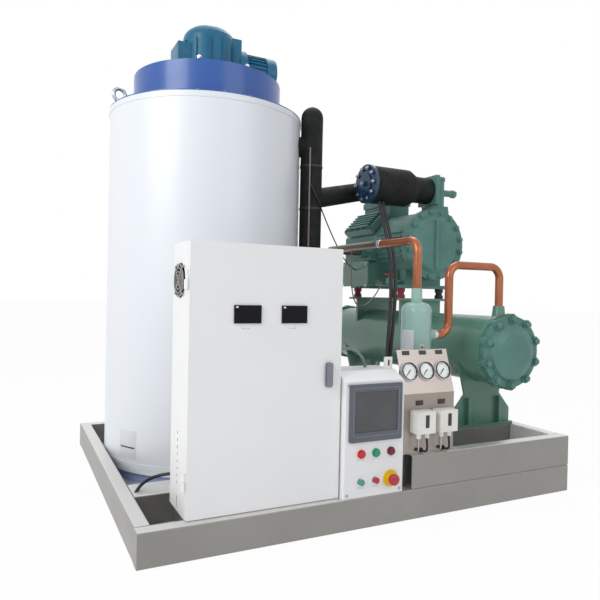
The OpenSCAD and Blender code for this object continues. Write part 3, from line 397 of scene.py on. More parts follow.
def make_materials():
    """Build each finish once, named for what it is."""
    c = bpy.context.scene.flake_colours
    MATS.update(
        {
            "white_paint": sprayed_enamel(
                "white_sheet_enamel", c.drum_white, (0.3, 0.4), drift=(0.98, 1.0), patch=0.6, film=0.34
            ),
            "blue_paint": sprayed_enamel("blue_sheet_enamel", c.lid_blue, (0.24, 0.36)),
            # The ring's paler blue is painted light on a part that sits in shade.
            "ring_paint_painted_light": sprayed_enamel("blue_enamel_painted_light", c.ring_blue_painted_light, (0.24, 0.36)),
            "teal_paint": painted_casting("teal_cast_enamel", c.drive_teal, 0.006),
            "green_paint": painted_casting("green_cast_enamel", c.casting_green),
            "green_sheet": sprayed_enamel(
                "green_shell_enamel", c.set_green, (0.24, 0.4), 0.01, 0.2, (0.88, 1.08)
            ),
            "separator_paint": sprayed_enamel("pale_green_enamel", c.separator_green, (0.24, 0.36)),
            "navy_paint": sprayed_enamel("navy_enamel", c.cover_navy, (0.26, 0.4)),
            "cabinet_paint": powder_coat("powder_coated_sheet", c.cabinet_white),
            "stainless": brushed_stainless("stainless_brushed_lengthwise", 0),
            "stainless_deep": brushed_stainless("stainless_brushed_across", 1),
            # Floor pan: its pale colour is a painted reflection of the white room.
            "stainless_painted_reflection": brushed_stainless("stainless_floor_sheet_painted_reflection", 1, SHEET_PAINTED_REFLECTION, (0.2, 0.3), 0.1),
            "stainless_up": brushed_stainless(
                "stainless_brushed_upright",
                2,
                linear("#9F958E"),
                (0.26, 0.38),
                # top is the painted highlight on the board's upward-leaning faces.
                top=linear("#C6BCB4"),
                tilt=(0.08, 0.25),
            ),
            "evaporator_steel": bare_metal("ground_evaporator_steel", linear("#9FA3A6"), (0.3, 0.45)),
            "shaft_steel": bare_metal("turned_shaft_steel", linear("#A9ACAF")),
            "fan_metal": bare_metal("zinc_plated_wire", linear("#A19E99"), (0.3, 0.45), metallic=0.7),
            "latch_zinc": bare_metal("satin_zinc_casting", linear("#7C828B"), (0.3, 0.42)),
            "bright_metal": bare_metal("polished_chrome", linear("#D5D6DA"), (0.06, 0.14)),
            "bolt_zinc": bare_metal("zinc_plated_steel", linear("#B9BCC2"), (0.25, 0.4)),
            "cast_grey": painted_casting("grey_cast_iron", linear("#4E5154")),
            "copper": drawn_copper("drawn_copper_tube", c.copper),
            "foam_black": foam_rubber("closed_cell_rubber", linear("#161718")),
            "foam_core": foam_rubber("rigid_foam", linear("#D8C79A"), 0.004),
            "hose_rubber": moulded("black_hose_rubber", linear("#17181A"), (0.42, 0.58)),
            "cable_grey": moulded("grey_cable_sheath", linear("#7E838A"), (0.4, 0.52)),
            "dark_plastic": moulded("black_abs", linear("#15151A"), (0.16, 0.28), gloss=0.12),
            "bezel_plastic": moulded("grey_abs", c.bezel_grey, (0.36, 0.5)),
            "switch_grey": moulded("grey_polycarbonate", linear("#6B6E73")),
            "switch_white": moulded("white_abs", linear("#ECEBE6"), (0.34, 0.46)),
            "screen_glass": moulded("dark_screen_glass", linear("#4E4F53"), (0.12, 0.2), 0.004, 0.02),
            "button_green": moulded("green_button_plastic", c.start_green, (0.2, 0.3)),
            "button_red": moulded("red_button_plastic", c.stop_red, (0.2, 0.3)),
            "estop_yellow": moulded("yellow_collar_plastic", c.stop_yellow, (0.28, 0.4)),
            "estop_red": moulded("red_mushroom_plastic", c.stop_red, (0.24, 0.36)),
            "wheel_red": moulded("red_wheel_plastic", linear("#C4202E"), (0.26, 0.4)),
            "gauge_black": moulded("black_gauge_lacquer", linear("#3B3B3D"), (0.24, 0.38)),
            "needle_black": moulded("black_needle_lacquer", linear("#101012"), (0.4, 0.5)),
            "clear_lens": clear_glass("gauge_glass"),
            "dial_white": moulded("printed_dial_card", linear("#E9EAE8"), (0.5, 0.62), 0.003, 0.03),
            "tag_black": moulded("engraved_black_laminate", linear("#2B2B2C"), (0.3, 0.44)),
            "tag_pale": moulded("bare_label_film", linear("#DCE1E6"), (0.3, 0.42), 0.003, 0.04),
            "tag_silver": bare_metal("blank_aluminium_tag", linear("#C9CCD0"), (0.3, 0.42)),
            "red_spot": moulded("red_paint_spot", linear("#B4373F"), (0.4, 0.5)),
        }
    )
    # Tray sides: pale between the two X values, a painted reflection of the white room inside the tray; grey
    # at both ends.
    MATS["stainless_tray_painted_reflection"] = split_along_x(
        brushed_stainless("stainless_tray_sheet_painted_reflection", 1, SHEET_PAINTED_REFLECTION, (0.2, 0.3), 0.1),
        SHEET_GREY,
        [(0.0815, SHEET_PAINTED_REFLECTION), (0.8985, SHEET_GREY)],
    )
    red, dark = linear("#8E2A35"), linear("#20202A")
    MATS["mount_rubber"] = split_along_x(
        moulded("natural_rubber", red, (0.5, 0.64), 0.003, 0.2), red, [(0.70, dark)]
    )
    lamps = moulded("lamp_acrylic", c.lamp_red, (0.1, 0.18), 0.002, 0.02)
    MATS["lamp_red"] = split_along_x(lamps, c.lamp_red, [(-0.11, c.lamp_green), (-0.048, c.lamp_dark)])


NODE_FINISH = {
    "side_rails": "stainless_deep",
    "tray_sides": "stainless_tray_painted_reflection",
    "floor_pan": "stainless_painted_reflection",
    "base_ring": "ring_paint_painted_light",
    "lifting_eyes": "bolt_zinc",
    "gauge_board": "stainless_up",
    "condenser_shell": "green_sheet",
    "condenser_saddles": "green_sheet",
    "compressor_brackets": "green_sheet",
    "terminal_box": "green_sheet",
}


# Mesh helpers


def piece(name, bm, finish, body="machine", smooth=35.0):
    """Turn a bmesh into a finished piece that rides on a body."""
    bmesh.ops.recalc_face_normals(bm, faces=bm.faces)
    mesh = bpy.data.meshes.new(name)
    bm.to_mesh(mesh)
    bm.free()
    obj = bpy.data.objects.new(name, mesh)
    bpy.context.scene.collection.objects.link(obj)
    return dress(obj, finish, body, smooth)


def dress(obj, finish, body="machine", smooth=35.0):
    """Give a mesh object its finish, smoothing, body and material slot."""
    mesh = obj.data
    mesh.materials.clear()
    mesh.materials.append(MATS[finish])
    if smooth:
        mesh.shade_smooth()
        mesh.set_sharp_from_angle(angle=math.radians(smooth))
    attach(obj, body)
    return obj


def turned(axis):
    """A rotation that takes +Z to an axis."""
    return Vector((0, 0, 1)).rotation_difference(Vector(axis).normalized()).to_matrix().to_4x4()


def lathe(bm, profile, place, axis=(0, 0, 1), steps=48):
    """Turn a profile of (radius, height) pairs about an axis into a closed ring."""
    move = Matrix.Translation(Vector(place)) @ turned(axis)
    rings = []
    for r, h in profile:
        turn = [2 * math.pi * k / steps for k in range(steps)]
        rings.append([bm.verts.new(move @ Vector((r * math.cos(t), r * math.sin(t), h))) for t in turn])
    for low, high in zip(rings, rings[1:] + rings[:1]):
        for k in range(steps):
            n = (k + 1) % steps
            bm.faces.new((low[k], low[n], high[n], high[k]))


def bent_plate(bm, middle, r, start, end, low, high, thick=0.0012, steps=10):
    """A thin plate bent round an upright cylinder, between two angles and two heights."""
    rows = []
    for k in range(steps + 1):
        t = math.radians(start + (end - start) * k / steps)
        row = []
        for out, z in ((-0.0003, low), (thick, low), (thick, high), (-0.0003, high)):
            spot = (middle[0] + (r + out) * math.cos(t), middle[1] + (r + out) * math.sin(t), z)
            row.append(bm.verts.new(spot))
        rows.append(row)
    for a, b in zip(rows, rows[1:]):
        for i in range(4):
            n = (i + 1) % 4
            bm.faces.new((a[i], a[n], b[n], b[i]))
    bm.faces.new(rows[0][::-1])
    bm.faces.new(rows[-1])


def slab(bm, lo, hi, edge=0.001, place=None):
    """A block with its edges rounded."""
    size = [b - a for a, b in zip(lo, hi)]
    middle = [(a + b) / 2 for a, b in zip(lo, hi)]
    made = bmesh.ops.create_cube(bm, size=1.0)["verts"]
    bmesh.ops.scale(bm, vec=size, verts=made)
    bmesh.ops.translate(bm, vec=middle, verts=made)
    edges = list({e for v in made for e in v.link_edges})
    cut = bmesh.ops.bevel(bm, geom=edges, offset=edge, segments=2, profile=0.6, affect="EDGES")
    if place is not None:
        verts = list({v for f in cut["faces"] for v in f.verts} | {v for v in made if v.is_valid})
        bmesh.ops.transform(bm, matrix=place, verts=verts)


def tube(bm, path, r, sides=12):
    """A closed tube along points."""
    path = [Vector(p) for p in path]
    side = None
    rings = []
    for i, p in enumerate(path):
        way = (path[min(i + 1, len(path) - 1)] - path[max(i - 1, 0)]).normalized()
        if side is None:
            side = way.orthogonal().normalized()
        side = (side - way * side.dot(way)).normalized()
        up = way.cross(side)
        turn = [2 * math.pi * k / sides for k in range(sides)]
        rings.append([bm.verts.new(p + r * (side * math.cos(t) + up * math.sin(t))) for t in turn])
    for low, high in zip(rings, rings[1:]):
        for k in range(sides):
            n = (k + 1) % sides
            bm.faces.new((low[k], low[n], high[n], high[k]))
    bm.faces.new(rings[0][::-1])
    bm.faces.new(rings[-1])


def smooth_path(points, count):
    """Points along one Bezier curve through control points."""
    out = []
    for i in range(count + 1):
        t = i / count
        row = [Vector(p) for p in points]
        while len(row) > 1:
            row = [a.lerp(b, t) for a, b in zip(row, row[1:])]
        out.append(row[0])
    return out


# Geometry Nodes


HEAD_LIFT = 0.62
WASHER_THICKNESS = 0.25
WASHER_WIDTH = 1.35


def open_tree(name, lengths, counts=()):
    """A tree that takes points, lengths, counts and a finish, and its input sockets."""
    tree = bpy.data.node_groups.new(name, "GeometryNodeTree")
    face = tree.interface
    face.new_socket("Geometry", in_out="INPUT", socket_type="NodeSocketGeometry")
    for label, value in lengths:
        face.new_socket(label, in_out="INPUT", socket_type="NodeSocketFloat").default_value = value
    for label, value in counts:
        face.new_socket(label, in_out="INPUT", socket_type="NodeSocketInt").default_value = value
    face.new_socket("Finish", in_out="INPUT", socket_type="NodeSocketMaterial")
    face.new_socket("Geometry", in_out="OUTPUT", socket_type="NodeSocketGeometry")
    return tree, add(tree, "NodeGroupInput").outputs


def close_tree(tree, given, spread):
    """End a tree: its instances become one mesh with the given finish."""
    whole = add(tree, "GeometryNodeRealizeInstances", {}, {"Geometry": spread.outputs["Instances"]})
    last = add(
        tree,
        "GeometryNodeSetMaterial",
        {},
        {"Geometry": whole.outputs["Geometry"], "Material": given["Finish"]},
    )
    add(tree, "NodeGroupOutput", {}, {"Geometry": last.outputs["Geometry"]})
    return tree


def head_tree():
    """Heads with washers on points, turned to the points' facing."""
    lengths = (("Head radius", 0.008), ("Head height", 0.007), ("Washer radius", 0.011))
    tree, given = open_tree("heads_on_points", lengths, [("Corners", 6)])
    head = add(
        tree,
        "GeometryNodeMeshCylinder",
        {},
        {"Vertices": given["Corners"], "Radius": given["Head radius"], "Depth": given["Head height"]},
    )
    half = add(tree, "ShaderNodeMath", {"operation": "MULTIPLY", 1: HEAD_LIFT}, {0: given["Head height"]})
    lift = add(tree, "ShaderNodeCombineXYZ", {}, {"Z": half.outputs[0]})
    raised = add(
        tree,
        "GeometryNodeTransform",
        {},
        {"Geometry": head.outputs["Mesh"], "Translation": lift.outputs["Vector"]},
    )
    thin = add(
        tree, "ShaderNodeMath", {"operation": "MULTIPLY", 1: WASHER_THICKNESS}, {0: given["Head height"]}
    )
    washer = add(
        tree,
        "GeometryNodeMeshCylinder",
        {"Vertices": 20},
        {"Radius": given["Washer radius"], "Depth": thin.outputs[0]},
    )
    both = add(tree, "GeometryNodeJoinGeometry")
    tree.links.new(washer.outputs["Mesh"], both.inputs["Geometry"])
    tree.links.new(raised.outputs["Geometry"], both.inputs["Geometry"])
    facing = add(tree, "GeometryNodeInputNamedAttribute", {"data_type": "FLOAT_VECTOR", "Name": "facing"})
    turn = add(
        tree, "FunctionNodeAlignRotationToVector", {"axis": "Z"}, {"Vector": facing.outputs["Attribute"]}
    )
    spread = add(
        tree,
        "GeometryNodeInstanceOnPoints",
        {},
        {
            "Points": given["Geometry"],
            "Instance": both.outputs["Geometry"],
            "Rotation": turn.outputs["Rotation"],
        },
    )
    return close_tree(tree, given, spread)


def tick_tree():
    """Bars on points, turned and stretched by the points' own rows, for a gauge dial."""
    lengths = (("Tick length", 0.0045), ("Tick width", 0.0009), ("Tick height", 0.0004))
    tree, given = open_tree("ticks_on_dial", lengths)
    size = add(
        tree,
        "ShaderNodeCombineXYZ",
        {},
        {"X": given["Tick length"], "Y": given["Tick width"], "Z": given["Tick height"]},
    )
    bar = add(tree, "GeometryNodeMeshCube", {}, {"Size": size.outputs["Vector"]})
    out = add(tree, "GeometryNodeInputNamedAttribute", {"data_type": "FLOAT_VECTOR", "Name": "facing"})
    face_up = add(tree, "GeometryNodeInputNamedAttribute", {"data_type": "FLOAT_VECTOR", "Name": "upright"})
    first = add(
        tree, "FunctionNodeAlignRotationToVector", {"axis": "Z"}, {"Vector": face_up.outputs["Attribute"]}
    )
    turn = add(
        tree,
        "FunctionNodeAlignRotationToVector",
        {"axis": "X", "pivot_axis": "Z"},
        {"Rotation": first.outputs["Rotation"], "Vector": out.outputs["Attribute"]},
    )
    grow = add(tree, "GeometryNodeInputNamedAttribute", {"data_type": "FLOAT_VECTOR", "Name": "stretch"})
    spread = add(
        tree,
        "GeometryNodeInstanceOnPoints",
        {},
        {
            "Points": given["Geometry"],
            "Instance": bar.outputs["Mesh"],
            "Rotation": turn.outputs["Rotation"],
            "Scale": grow.outputs["Attribute"],
        },
    )
    return close_tree(tree, given, spread)


def grow_on(name, tree, points, rows, inputs):
    """Run a tree on points that carry vector rows, and return the result as a plain mesh object."""
    mesh = bpy.data.meshes.new(name + "_points")
    mesh.from_pydata([tuple(p) for p in points], [], [])
    for key, values in rows.items():
        store = mesh.attributes.new(key, "FLOAT_VECTOR", "POINT")
        store.data.foreach_set("vector", [x for v in values for x in v])
    obj = bpy.data.objects.new(name, mesh)
    bpy.context.scene.collection.objects.link(obj)
    mod = obj.modifiers.new("grow", "NODES")
    mod.node_group = tree
    for item in tree.interface.items_tree:
        if item.in_out == "INPUT" and item.name in inputs:
            mod[item.identifier] = inputs[item.name]
    graph = bpy.context.evaluated_depsgraph_get()
    plain = bpy.data.meshes.new_from_object(obj.evaluated_get(graph))
    obj.modifiers.clear()
    obj.data = plain
    plain.name = name
    return obj


TREES = {}


def heads(name, spots, radius, height, corners=6):
    """Zinc-plated bolt or screw heads at (point, facing) spots on the machine, as one piece."""
    if "heads" not in TREES:
        TREES["heads"] = head_tree()
    obj = grow_on(
        name,
        TREES["heads"],
        [p for p, f in spots],
        {"facing": [f for p, f in spots]},
        {
            "Head radius": radius,
            "Head height": height,
            "Washer radius": radius * WASHER_WIDTH,
            "Corners": corners,
            "Finish": MATS["bolt_zinc"],
        },
    )
    return dress(obj, "bolt_zinc")


def cord_piece(name, path, diameter, finish, slot, **facts):
    """A free hose or cable as a curve of one open spline."""
    line = bpy.data.curves.new(name, "CURVE")
    line.dimensions = "3D"
    line.bevel_depth = diameter / 2
    line.bevel_resolution = 4
    line.use_fill_caps = True
    spline = line.splines.new("POLY")
    spline.points.add(len(path) - 1)
    for dot, p in zip(spline.points, path):
        dot.co = (p[0], p[1], p[2], 1.0)
    spline.use_smooth = True
    obj = bpy.data.objects.new(name, line)
    bpy.context.scene.collection.objects.link(obj)
    line.materials.append(MATS[finish])
    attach(obj, "machine")
    return obj


# Operators

# Each lamp: name, place, share of the key lamp's power, colour
LAMPS = (
    ("key_lamp", (-4.4, -1.7, 3.0), 1.0, (1.0, 0.99, 0.97)),
    ("fill_lamp", (1.4, -4.6, 2.6), 0.28, (0.97, 0.98, 1.0)),
    ("top_lamp", (0.9, 1.2, 4.6), 0.45, (1.0, 1.0, 1.0)),
)
LAMP_SIZE = 2.6
WHITE = (1.0, 1.0, 1.0, 1.0)


class FLAKE_OT_stage(bpy.types.Operator):
    """Set up the camera, the pale floor and the soft light"""

    bl_idname = "flake.stage"
    bl_label = "Stage"

    def execute(self, context):
        scene = context.scene
        s = scene.flake_stage
        scene.view_settings.view_transform = "Standard"
        ahead = Vector(
            (math.sin(s.yaw) * math.cos(s.pitch), math.cos(s.yaw) * math.cos(s.pitch), math.sin(s.pitch))
        )
        right = Vector((math.cos(s.yaw), -math.sin(s.yaw), 0.0))
        up = right.cross(ahead)
        across = right * math.cos(s.roll) + up * math.sin(s.roll)
        upright = up * math.cos(s.roll) - right * math.sin(s.roll)
        data = bpy.data.cameras.new("photo_camera")
        data.lens = s.lens
        data.sensor_width = 36.0
        camera = bpy.data.objects.new("photo_camera", data)
        turn = Matrix((across, upright, -ahead)).transposed().to_4x4()
        camera.matrix_world = Matrix.Translation(Vector(s.camera_place)) @ turn
        scene.collection.objects.link(camera)
        scene.camera = camera
        self.floor(scene)
        for name, place, share, rgb in LAMPS:
            self.lamp(scene, name, place, s.key_light * share, rgb)
        self.room(scene, s.room_light)
        return {"FINISHED"}

    def floor(self, scene):
        bm = bmesh.new()
        bmesh.ops.create_circle(bm, cap_ends=True, radius=40.0, segments=96)
        mesh = bpy.data.meshes.new("studio_floor")
        bm.to_mesh(mesh)
        bm.free()
        obj = bpy.data.objects.new("studio_floor", mesh)
        obj.location.z = -0.001
        scene.collection.objects.link(obj)
        mat = bpy.data.materials.new("pale_floor")
        mat.use_nodes = True
        tree = mat.node_tree
        tree.nodes.clear()
        matt = add(tree, "ShaderNodeBsdfDiffuse", {"Color": (0.9, 0.9, 0.9, 1.0)})
        glow = add(tree, "ShaderNodeEmission", {"Color": WHITE, "Strength": 1.0})
        seen = self.seen(tree)
        part = add(tree, "ShaderNodeMath", {"operation": "MULTIPLY", 1: 0.96}, {0: seen})
        mix = add(
            tree, "ShaderNodeMixShader", {}, {0: part.outputs[0], 1: matt.outputs[0], 2: glow.outputs[0]}
        )
        add(tree, "ShaderNodeOutputMaterial", {}, {"Surface": mix.outputs[0]})
        mesh.materials.append(mat)

    def seen(self, tree):
        """One for camera, glossy and transmission rays, so metal and glass show the same background."""
        ray = add(tree, "ShaderNodeLightPath")
        first = add(
            tree,
            "ShaderNodeMath",
            {"operation": "MAXIMUM"},
            {0: ray.outputs["Is Camera Ray"], 1: ray.outputs["Is Glossy Ray"]},
        )
        both = add(
            tree,
            "ShaderNodeMath",
            {"operation": "MAXIMUM"},
            {0: first.outputs[0], 1: ray.outputs["Is Transmission Ray"]},
        )
        return both.outputs[0]

    def lamp(self, scene, name, place, watts, rgb):
        data = bpy.data.lights.new(name, "AREA")
        data.size = LAMP_SIZE
        data.energy = watts
        data.color = rgb
        obj = bpy.data.objects.new(name, data)
        aim = Vector((0.0, 0.0, 0.9)) - Vector(place)
        turn = aim.to_track_quat("-Z", "Y").to_matrix().to_4x4()
        obj.matrix_world = Matrix.Translation(Vector(place)) @ turn
        scene.collection.objects.link(obj)

    def room(self, scene, strength):
        world = bpy.data.worlds.new("studio_room")
        scene.world = world
        world.use_nodes = True
        tree = world.node_tree
        tree.nodes.clear()
        even = add(tree, "ShaderNodeBackground", {"Color": WHITE, "Strength": strength})
        white = add(tree, "ShaderNodeBackground", {"Color": WHITE, "Strength": 1.0})
        mix = add(
            tree, "ShaderNodeMixShader", {}, {0: self.seen(tree), 1: even.outputs[0], 2: white.outputs[0]}
        )
        add(tree, "ShaderNodeOutputWorld", {}, {"Surface": mix.outputs[0]})


class FLAKE_OT_finishes(bpy.types.Operator):
    """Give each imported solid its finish"""

    bl_idname = "flake.finishes"
    bl_label = "Finishes"

    def execute(self, context):
        make_materials()
        slots = {row["node"]: row["material_slot"] for row in frame["record"]["subparts"]}
        for name, obj in NODES.items():
            obj.data.materials.clear()
            obj.data.materials.append(MATS[NODE_FINISH.get(name, slots[name])])
        return {"FINISHED"}


class FLAKE_OT_hoses(bpy.types.Operator):
    """Lay the two hoses and the three cables"""

    bl_idname = "flake.hoses"
    bl_label = "Hoses"

    def execute(self, context):
        d = context.scene.flake_sizes
        for i in range(2):
            route = [
                (0.367 + 0.022 * i, -0.095, 1.272),
                (0.367 + 0.022 * i, -0.125, 1.174),
                (0.335 + 0.024 * i, -0.23, 1.01),
                (0.43 + 0.03 * i, -0.36, 0.8),
                (0.06 + 0.034 * i, -0.34, 0.48),
                (0.144, -0.619 + 0.026 * i, 0.254),
                (0.144, -0.619 + 0.026 * i, 0.116),
            ]
            cord_piece(
                    "gauge_hose_%d" % (i + 1),
                    smooth_path(route, 36),
                    d.hose,
                    "hose_rubber",
                    "hose_rubber",
                    far_end="object",
                    stiffness="stiff",
                    lay="taut",
                )
        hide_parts("gauge_hoses")
        side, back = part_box("cabinet_body")[1][:2]
        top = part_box("control_box")[1][2]
        arc = [
            (side - 0.001, -0.64, 0.575),
            (-0.17, -0.64, 0.64),
            (-0.055, -0.64, 0.63),
            (-0.0446, -0.64, top - 0.001),
        ]
        supply = [
            (-0.66, back - 0.001, 0.17),
            (-0.66, -0.42, 0.18),
            (-0.74, -0.32, 0.125),
            (-0.81, -0.36, 0.155),
            (-0.8495, -0.44, 0.09),
        ]
        sensor = [
            (0.0105, -0.0455, 1.335),
            (0.05, -0.09, 1.24),
            (0.12, -0.02, 1.12),
            (0.22, 0.09, 1.12),
            (0.33, 0.24, 1.06),
            (0.40, 0.27, 0.97),
            (0.4692, 0.27, 0.953),
        ]
        cables = (
            ("box_cable", arc, 24, d.cable, "cable_grey"),
            ("supply_cable", supply, 30, 0.012, "hose_rubber"),
            ("sensor_cable", sensor, 30, 0.006, "hose_rubber"),
        )
        for name, line, steps, thick, finish in cables:
            cord_piece(
                name,
                smooth_path(line, steps),
                thick,
                finish,
                "hose_rubber",
                far_end="object",
                stiffness="stiff",
                lay="loose",
            )
        return {"FINISHED"}


class FLAKE_OT_drum(bpy.types.Operator):
    """Dress the ice drum: bare plate, jacket band, lid bolts and drive plugs"""

    bl_idname = "flake.drum"
    bl_label = "Drum"

    def execute(self, context):
        lo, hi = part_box("drum_jacket")
        cx, cy, r = (lo[0] + hi[0]) / 2, (lo[1] + hi[1]) / 2, (hi[0] - lo[0]) / 2
        middle = (cx, cy)
        bm = bmesh.new()
        band = [(r - 0.0002, 0.02), (r + 0.0016, 0.021), (r + 0.0016, 0.041), (r - 0.0002, 0.042)]
        lathe(bm, band, (cx, cy, lo[2]), steps=128)
        rim = [(r - 0.0004, -0.014), (r + 0.0032, -0.012), (r + 0.0032, 0.0105), (r + 0.0016, 0.012)]
        lathe(bm, rim, (cx, cy, hi[2]), steps=128)
        piece("jacket_band", bm, "white_paint")
        bm = bmesh.new()
        bent_plate(bm, middle, r, -157.0, -144.0, 0.105, 0.222)
        piece("jacket_plate", bm, "tag_pale")
        bm = bmesh.new()
        bent_plate(bm, middle, r + 0.0012, -156.0, -145.0, 0.148, 0.154, 0.0004)
        piece("jacket_plate_stripe", bm, "tag_black")
        d = context.scene.flake_sizes
        flange = []
        bolt_circle, lid_top = 0.425, hi[2] + 0.016
        for k in range(24):
            t = math.radians(15 * k + 7)
            spot = (cx + bolt_circle * math.cos(t), cy + bolt_circle * math.sin(t), lid_top)
            flange.append((spot, (0, 0, 1)))
        heads("lid_bolts", flange, d.bolt_head, 0.007)
        gear_r = 0.124
        plugs = [((cx + 0.162, cy - 0.0938, 1.907), (0, -1, -0.06))]
        for turn in (232.0, 128.0):
            way = (math.cos(math.radians(turn)), math.sin(math.radians(turn)), 0.0)
            plugs.append(((cx + gear_r * way[0], cy + gear_r * way[1], 1.902), way))
        heads("drive_plugs", plugs, 0.008, 0.009)
        return {"FINISHED"}


class FLAKE_OT_cabinet(bpy.types.Operator):
    """Dress the cabinet and the operator box"""

    bl_idname = "flake.cabinet"
    bl_label = "Cabinet"

    def execute(self, context):
        d = context.scene.flake_sizes
        lo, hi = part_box("control_panel")
        front = lo[1]
        spots = [
            ((x, front, z), (0, -1, 0))
            for x in (lo[0] + 0.012, hi[0] - 0.012)
            for z in (lo[2] + 0.012, hi[2] - 0.012)
        ]
        heads("panel_screws", spots, d.screw_head, 0.003, corners=16)
        bm = bmesh.new()
        keys = [lo[0] + share * (hi[0] - lo[0]) for share in (0.27, 0.52, 0.78)]
        for x in keys:
            slab(bm, (x - 0.014, front - 0.0008, 0.239), (x + 0.014, front + 0.0002, 0.245), 0.0003)
        for x in keys[:2]:
            slab(bm, (x - 0.014, front - 0.0008, 0.142), (x + 0.014, front + 0.0002, 0.148), 0.0003)
        piece("legend_strips", bm, "tag_silver")
        blo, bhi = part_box("screen_bezel")
        bm = bmesh.new()
        mid = (blo[0] + bhi[0]) / 2
        inner = [(mid - 0.095, 0.325), (mid + 0.095, 0.325), (mid + 0.095, 0.492), (mid - 0.095, 0.492)]
        for (x0, z0), (x1, z1) in zip(inner, inner[1:] + inner[:1]):
            slab(
                bm,
                (min(x0, x1) - 0.0012, blo[1] - 0.0008, min(z0, z1) - 0.0012),
                (max(x0, x1) + 0.0012, blo[1] + 0.0002, max(z0, z1) + 0.0012),
                0.0003,
            )
        piece("screen_rim", bm, "cable_grey")
        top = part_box("control_box")[1][2]
        bm = bmesh.new()
        slab(bm, (-0.002, -0.706, top - 0.0005), (0.032, -0.698, top + 0.044), 0.0012)
        piece("box_tag", bm, "switch_white")
        bm = bmesh.new()
        slab(bm, (0.012, -0.7066, top + 0.012), (0.019, -0.7055, top + 0.034), 0.0003)
        piece("box_tag_slot", bm, "tag_black")
        low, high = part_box("door_displays")
        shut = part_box("cabinet_door")[0][1]
        display_w = 0.092
        marks = bmesh.new()
        strips = bmesh.new()
        for x in (low[0], high[0] - display_w):
            slab(
                marks,
                (x + 0.005, low[1] - 0.0006, high[2] - 0.0088),
                (x + 0.013, low[1] + 0.0004, high[2] - 0.0035),
                0.0002,
            )
            slab(
                strips,
                (x + 0.026, shut - 0.0008, low[2] - 0.0178),
                (x + 0.054, shut + 0.0002, low[2] - 0.0125),
                0.0003,
            )
        piece("display_marks", marks, "switch_white", "door")
        piece("display_strips", strips, "tag_silver", "door")
        return {"FINISHED"}


class FLAKE_OT_gauges(bpy.types.Operator):
    """Dress the gauge board: dials with ticks, rims, tags and switch windows"""

    bl_idname = "flake.gauges"
    bl_label = "Gauges"

    def execute(self, context):
        d = context.scene.flake_sizes
        lean = math.radians(18.0)
        out = Vector((0.0, -math.cos(lean), math.sin(lean)))
        up = Vector((0.0, math.sin(lean), math.cos(lean)))
        right = Vector((1.0, 0.0, 0.0))
        middle = Vector((0.1675, -0.72935, 0.53394))
        cards, rims, tags = bmesh.new(), bmesh.new(), bmesh.new()
        self.thin, self.dark = bmesh.new(), bmesh.new()
        points, facing, upright, stretch = [], [], [], []
        card = [(0.0022, 0.0), (0.0022, 0.0006), (0.0298, 0.0006), (0.0298, 0.0)]
        rim = [(0.0342, 0.0005), (0.0382, 0.0005), (0.0382, 0.006), (0.0372, 0.0085), (0.0342, 0.0085)]
        flat = Matrix((right, up, out)).transposed().to_4x4()
        gauge_pitch = 0.078
        for i in (-1, 0, 1):
            c = middle + right * (gauge_pitch * i)
            lathe(cards, card, c + out * 0.0041, out, 48)
            lathe(rims, rim, c, out, 64)
            for k in range(31):
                t = math.radians(225 - 9 * k)
                way = right * math.cos(t) + up * math.sin(t)
                long = k % 5 == 0
                points.append(c + out * 0.0048 + way * (0.0262 if long else 0.0275))
                facing.append(way)
                upright.append(out)
                stretch.append((1.0, 1.6, 1.0) if long else (0.5, 1.0, 1.0))
            place = Matrix.Translation(c + up * 0.071 + out * 0.0008) @ flat
            slab(tags, (-0.016, -0.008, -0.0008), (0.016, 0.008, 0.0014), 0.0005, place)
        piece("gauge_dials", cards, "dial_white")
        piece("gauge_rims", rims, "bright_metal")
        obj = grow_on(
            "dial_ticks",
            tick_tree(),
            points,
            {"facing": facing, "upright": upright, "stretch": stretch},
            {
                "Tick length": d.tick_length,
                "Tick width": 0.0008,
                "Tick height": 0.0004,
                "Finish": MATS["needle_black"],
            },
        )
        dress(obj, "needle_black", smooth=None)
        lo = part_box("pressure_switches")[0]
        windows = bmesh.new()
        for x in (0.1215, 0.2245):
            slab(tags, (x - 0.016, -0.7575, 0.412), (x + 0.016, -0.7551, 0.43), 0.0005)
            slab(windows, (x - 0.006, lo[1] - 0.0012, 0.338), (x + 0.010, lo[1] + 0.0002, 0.384), 0.0005)
            self.lines(x, lo[2])
        piece("switch_lines", self.thin, "bolt_zinc")
        piece("switch_cables", self.dark, "hose_rubber")
        piece("name_tags", tags, "tag_black")
        piece("scale_windows", windows, "tag_black")
        return {"FINISHED"}

    def lines(self, x, low):
        """The capillary and the cable under a pressure switch, each into its grommet on the board."""
        front, board = -0.779, -0.7551
        grommet = ((0.0004, 0.0), (0.0045, 0.0), (0.0045, 0.003), (0.0022, 0.0048), (0.0004, 0.003))
        for dx, r, drop, store in ((-0.018, 0.0024, 0.046, self.thin), (0.018, 0.0042, 0.05, self.dark)):
            start = (x + dx, front, low + 0.002)
            end = (x + dx * 0.6, board - 0.0005, low - drop)
            bends = [
                start,
                (x + dx * 1.1, front - 0.002, low - 0.03),
                (x + dx * 1.3, front - 0.012, low - drop - 0.012),
                end,
            ]
            tube(store, smooth_path(bends, 14), r, 10)
            ring = [(r + wide, high) for wide, high in grommet]
            lathe(self.dark, ring, (end[0], board, end[2]), (0, -1, 0), 24)


